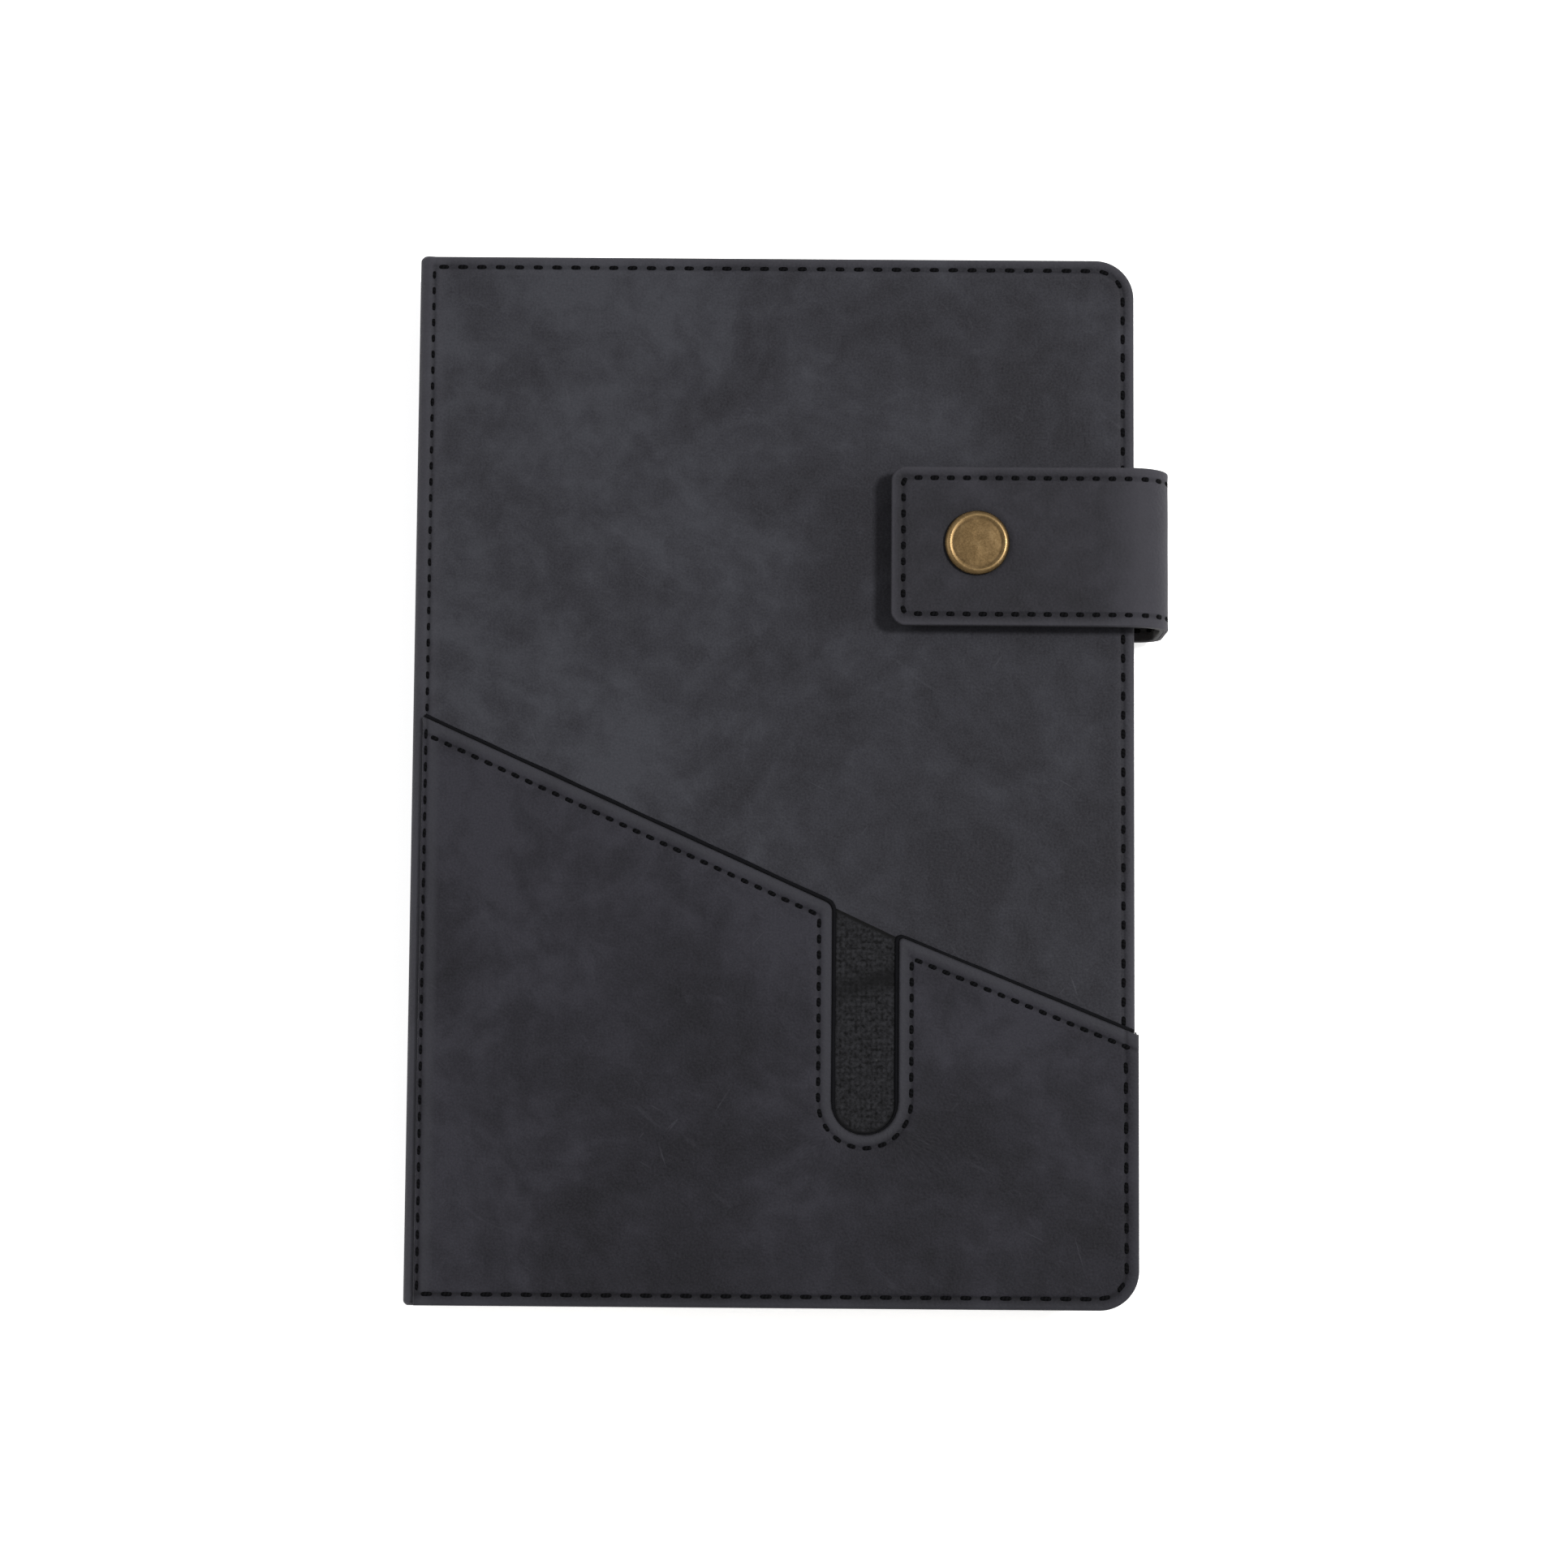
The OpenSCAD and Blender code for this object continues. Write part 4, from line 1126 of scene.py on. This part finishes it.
# ---------------------------------------------------------------- strap
TAIL_START = FORE_X - 0.6
STRAP_PARTS = [(SIDE_X - LOWER_R - TAIL_START, 0), (LOWER_R, 90),
               (STRAP_MID_Z - UPPER_R - TAIL_Z - LOWER_R, 0), (UPPER_R, 90),
               (SIDE_X - UPPER_R - STRAP_LO[0], 0)]
OUTER_PATH = Path(TAIL_START, TAIL_Z, 0, STRAP_PARTS, -1)
INNER_PATH = Path(TAIL_START, TAIL_Z, 0, STRAP_PARTS, 1)
SIDE_START, SIDE_END, UPPER_END = [OUTER_PATH.knots[n][0] for n in (2, 3, 4)]
SPLIT = (SIDE_START + SIDE_END) / 2
STRAP_LEN = OUTER_PATH.length
TIP_R = 3.0
STRAP_EDGE = Edge(TIP_R, 0.38, STRAP_LAYER - 0.03, 0.12, 0.5, STRAP_SEAM, 5)


def strap_layer(name, path, s0, s1, material, outer):
    """One layer of the strap, from s0 to s1 along it, with pressed seams and the snap's press mark."""
    edge = STRAP_EDGE
    cs, cw = STRAP_LEN - TIP_R, STRAP_W / 2 - TIP_R
    s_lines = [*np.arange(s0, s1, 0.7), s1]
    if s1 == STRAP_LEN:
        s_lines = [v for v in s_lines if v < cs] + [cs, *(cs + edge.lines)]
    S, W = np.meshgrid(merged(s_lines), both_sides(cw, 0.7, edge), indexing="ij")
    s, w, h, d, _, m = round_corner(S, W, cs, cw, edge)
    on_top = m <= edge.top_end
    groove = dent(np.where((np.abs(W) > cw) | (S > cs), d, 9), STRAP_SEAM) * on_top
    snap_d = np.hypot(s - (STRAP_LEN - (SNAP_X - STRAP_LO[0])), w - (SNAP_Y - STRAP_Y))
    press = dent(snap_d, 6.3 if outer else 5.4, 0.7) * on_top * (s > UPPER_END)
    h = h - (0.2 if outer else 0.15) * groove - (0.2 if outer else 0.12) * press
    h = h - 0.04 * (1 + ripple(s, w, 21, 16.0)) * step(d, 0.6, 2.0) * on_top
    verts = path.place(s, w, h + STRAP_LAYER) + np.array([0, STRAP_Y, 0])
    # painted highlight on the strap's edges and where it bends round towards the light
    bend = step(s, SIDE_END - 2, SIDE_END + 4) * (1 - step(s, UPPER_END - 2, UPPER_END + 7))
    rim = 0.85 * dent(d, 0.5, 0.8) * on_top + 0.62 * bend + 0.15 * dent(d, STRAP_SEAM + 0.8, 0.5)
    from_tip = STRAP_LEN - s
    # paler towards the bend by the fore edge: painted highlight where the strap turns towards the light; the
    # patches are tone
    tone = (0.8 * step(from_tip, 38, 50) - 0.45 + 0.7 * step(from_tip, 42, 52) * step(-w, 2, 12)
            + 0.45 * patches(from_tip, w, STRAP_PATCHES))
    # the groove attribute paints shade into the seams and, on the outer layer, a painted shadow ring round
    # the snap cap over its press mark
    return grid_piece(name, verts, S, W, material, path.side < 0, uv_from=90, rim=np.clip(rim, 0, 1),
                      groove=np.clip(groove + 1.6 * press * outer, 0, 2.6), tone=tone)


def blend_strap(piece, upper):
    """Bake the strap piece's place into its mesh; the upper and the lower half are treated alike."""
    if upper:
        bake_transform(piece)
    else:
        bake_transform(piece)


LOWER_NODES = ["strap_tail", "strap_lower_bend", "strap_side_leather"]
UPPER_NODES = ["strap_upper_bend", "strap_tongue_leather"]
for label, path, material, outer, lower_nodes, upper_nodes in (
    ("outer", OUTER_PATH, STRAP, True, LOWER_NODES, UPPER_NODES),
    ("inner", INNER_PATH, STRAP_LINING, False, ["strap_side_lining"], ["strap_tongue_lining"]),
):
    lower = strap_layer(f"strap_{label}_lower", path, 0.0, SPLIT, material, outer)
    blend_strap(declare(lower, lower_nodes), False)
    upper = strap_layer(f"strap_{label}_upper", path, SPLIT, STRAP_LEN, material, outer)
    blend_strap(declare(upper, upper_nodes), True)

seam_w = STRAP_W / 2 - STRAP_SEAM
tip_s = STRAP_LEN - STRAP_SEAM - 0.2
chamfer = 0.9
side_lines = [([(1.2, w), (SPLIT, w)], 3.3) for w in (-seam_w, seam_w)]
tip_line = [(SPLIT, seam_w), (tip_s - chamfer, seam_w), (tip_s, seam_w - chamfer), (tip_s, chamfer - seam_w),
            (tip_s - chamfer, -seam_w), (SPLIT, -seam_w)]
for label, path, sunk in (("outer", OUTER_PATH, 0.18), ("inner", INNER_PATH, 0.16)):
    surface = path_surface(path, STRAP_LAYER - sunk, STRAP_Y)
    size = {"length": 1.85, "width": 1.1, "height": 0.55}
    blend_strap(seam(f"strap_{label}_seam_lower", side_lines, surface, **size), False)
    blend_strap(seam(f"strap_{label}_seam_upper", [(tip_line, 3.3)], surface, **size), True)


# ---------------------------------------------------------------- snap
def snap_cap():
    """The cap, turned: a flat centre with a worn grain, a shallow groove round it, and a rolled rim."""
    profile = np.array([(0.0, -0.06), (1.5, -0.063), (3.0, -0.07), (4.3, -0.085), (4.7, -0.1), (4.88, -0.11),
                        (5.0, -0.112), (5.12, -0.102), (5.28, -0.075), (5.46, -0.035), (5.62, -0.002),
                        (5.82, -0.03), (6.02, -0.1), (6.22, -0.2), (6.4, -0.36), (CAP_R - 0.06, -0.55)])
    profile[:, 1] += CAP_HI[2]
    wall = np.array([(CAP_R, 0.35), (CAP_R - 0.05, 0.12), (CAP_R - 0.25, -0.06), (CAP_R - 0.8, -0.14)])
    wall[:, 1] += STRAP_HI[2]
    profile = np.concatenate([profile, wall])
    n = 120
    r, a = np.meshgrid(profile[1:, 0], np.arange(n) / n * TURN, indexing="ij")
    z = np.repeat(profile[1:, 1][:, None], n, 1) + 0.012 * np.sin(3 * a + 0.6) * (r < 4.4)
    turned = np.stack([SNAP_X + r * np.cos(a), SNAP_Y + r * np.sin(a), z], -1).reshape(-1, 3)
    faces = [(0, 1 + j, 1 + (j + 1) % n) for j in range(n)]
    for i in range(len(profile) - 2):
        for j in range(n):
            p, q = 1 + i * n + j, 1 + i * n + (j + 1) % n
            faces.append((p, p + n, q + n, q))
    radius = np.concatenate([[0], r.ravel()])
    attributes = {"bright": 0.55 * dent(radius, 5.75, 0.4),
                  "groove": 0.3 * dent(radius, 4.95, 0.3) + 0.5 * (radius > CAP_R - 0.02)}
    verts = [(SNAP_X, SNAP_Y, profile[0, 1]), *turned]
    return make_piece("snap_cap_disc", verts, faces, BRASS, None, attributes)


declare(snap_cap(), ["snap_cap"], "strap_tongue")

for node, material in (("snap_stud", BRASS), ("snap_socket", BRASS), ("snap_eyelet", BRASS),
                       ("snap_spring", STEEL), ("front_board", BOARD), ("back_board", BOARD),
                       ("spine_board", BOARD), ("refill_back_card", CARD_CAD), ("refill_spine_tape", TAPE)):
    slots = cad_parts[node].data.materials
    slots.clear()
    slots.append(material)


# ---------------------------------------------------------------- floor, light, camera
def add_object(name, data, place, rotation):
    obj = bpy.data.objects.new(name, data)
    obj.location, obj.rotation_euler = place, rotation
    bpy.context.scene.collection.objects.link(obj)
    return obj


def area_light(name, place, size, power):
    """A square light that faces the object."""
    light = bpy.data.lights.new(name, "AREA")
    light.shape, light.size, light.energy = "SQUARE", size, power
    add_object(name, light, place, (-Vector(place)).to_track_quat("-Z", "Y").to_euler())


def studio():
    n = Nodes("studio_floor")
    soft = n.noise(n.coords("Object"), 0.6, 2.0)
    n.set(Base_Color=n.mix(soft, srgb((250, 250, 250)), srgb((247, 247, 247))), Roughness=0.9)
    n.set(Specular_IOR_Level=0.1, Emission_Color=(1, 1, 1, 1), Emission_Strength=0.65)
    far = 20000
    corners = [(-far, -far, 0), (far, -far, 0), (far, far, 0), (-far, far, 0)]
    make_piece("studio_floor", corners, [(0, 1, 2, 3)], n.material, smooth=False)
    world = bpy.data.worlds.new("studio")
    bpy.context.scene.world = world
    world.use_nodes = True
    background = world.node_tree.nodes["Background"].inputs
    background["Color"].default_value = (1, 1, 1, 1)
    background["Strength"].default_value = 0.38
    area_light("key", (0.82, 0.26, 1.25), 0.24, 15.0)
    area_light("fill", (-1.1, 0.2, 1.2), 0.9, 4)
    lens = bpy.data.cameras.new("camera")
    lens.lens, lens.sensor_width, lens.sensor_fit = 78.65, 36.0, "HORIZONTAL"
    lens.clip_start, lens.clip_end = 0.01, 20
    camera = add_object("camera", lens, (0.00189, -0.0649, 0.7159), (0.0907, 0.0039, 0.0076))
    bpy.context.scene.camera = camera
    bpy.context.scene.view_settings.view_transform = "Standard"


studio()
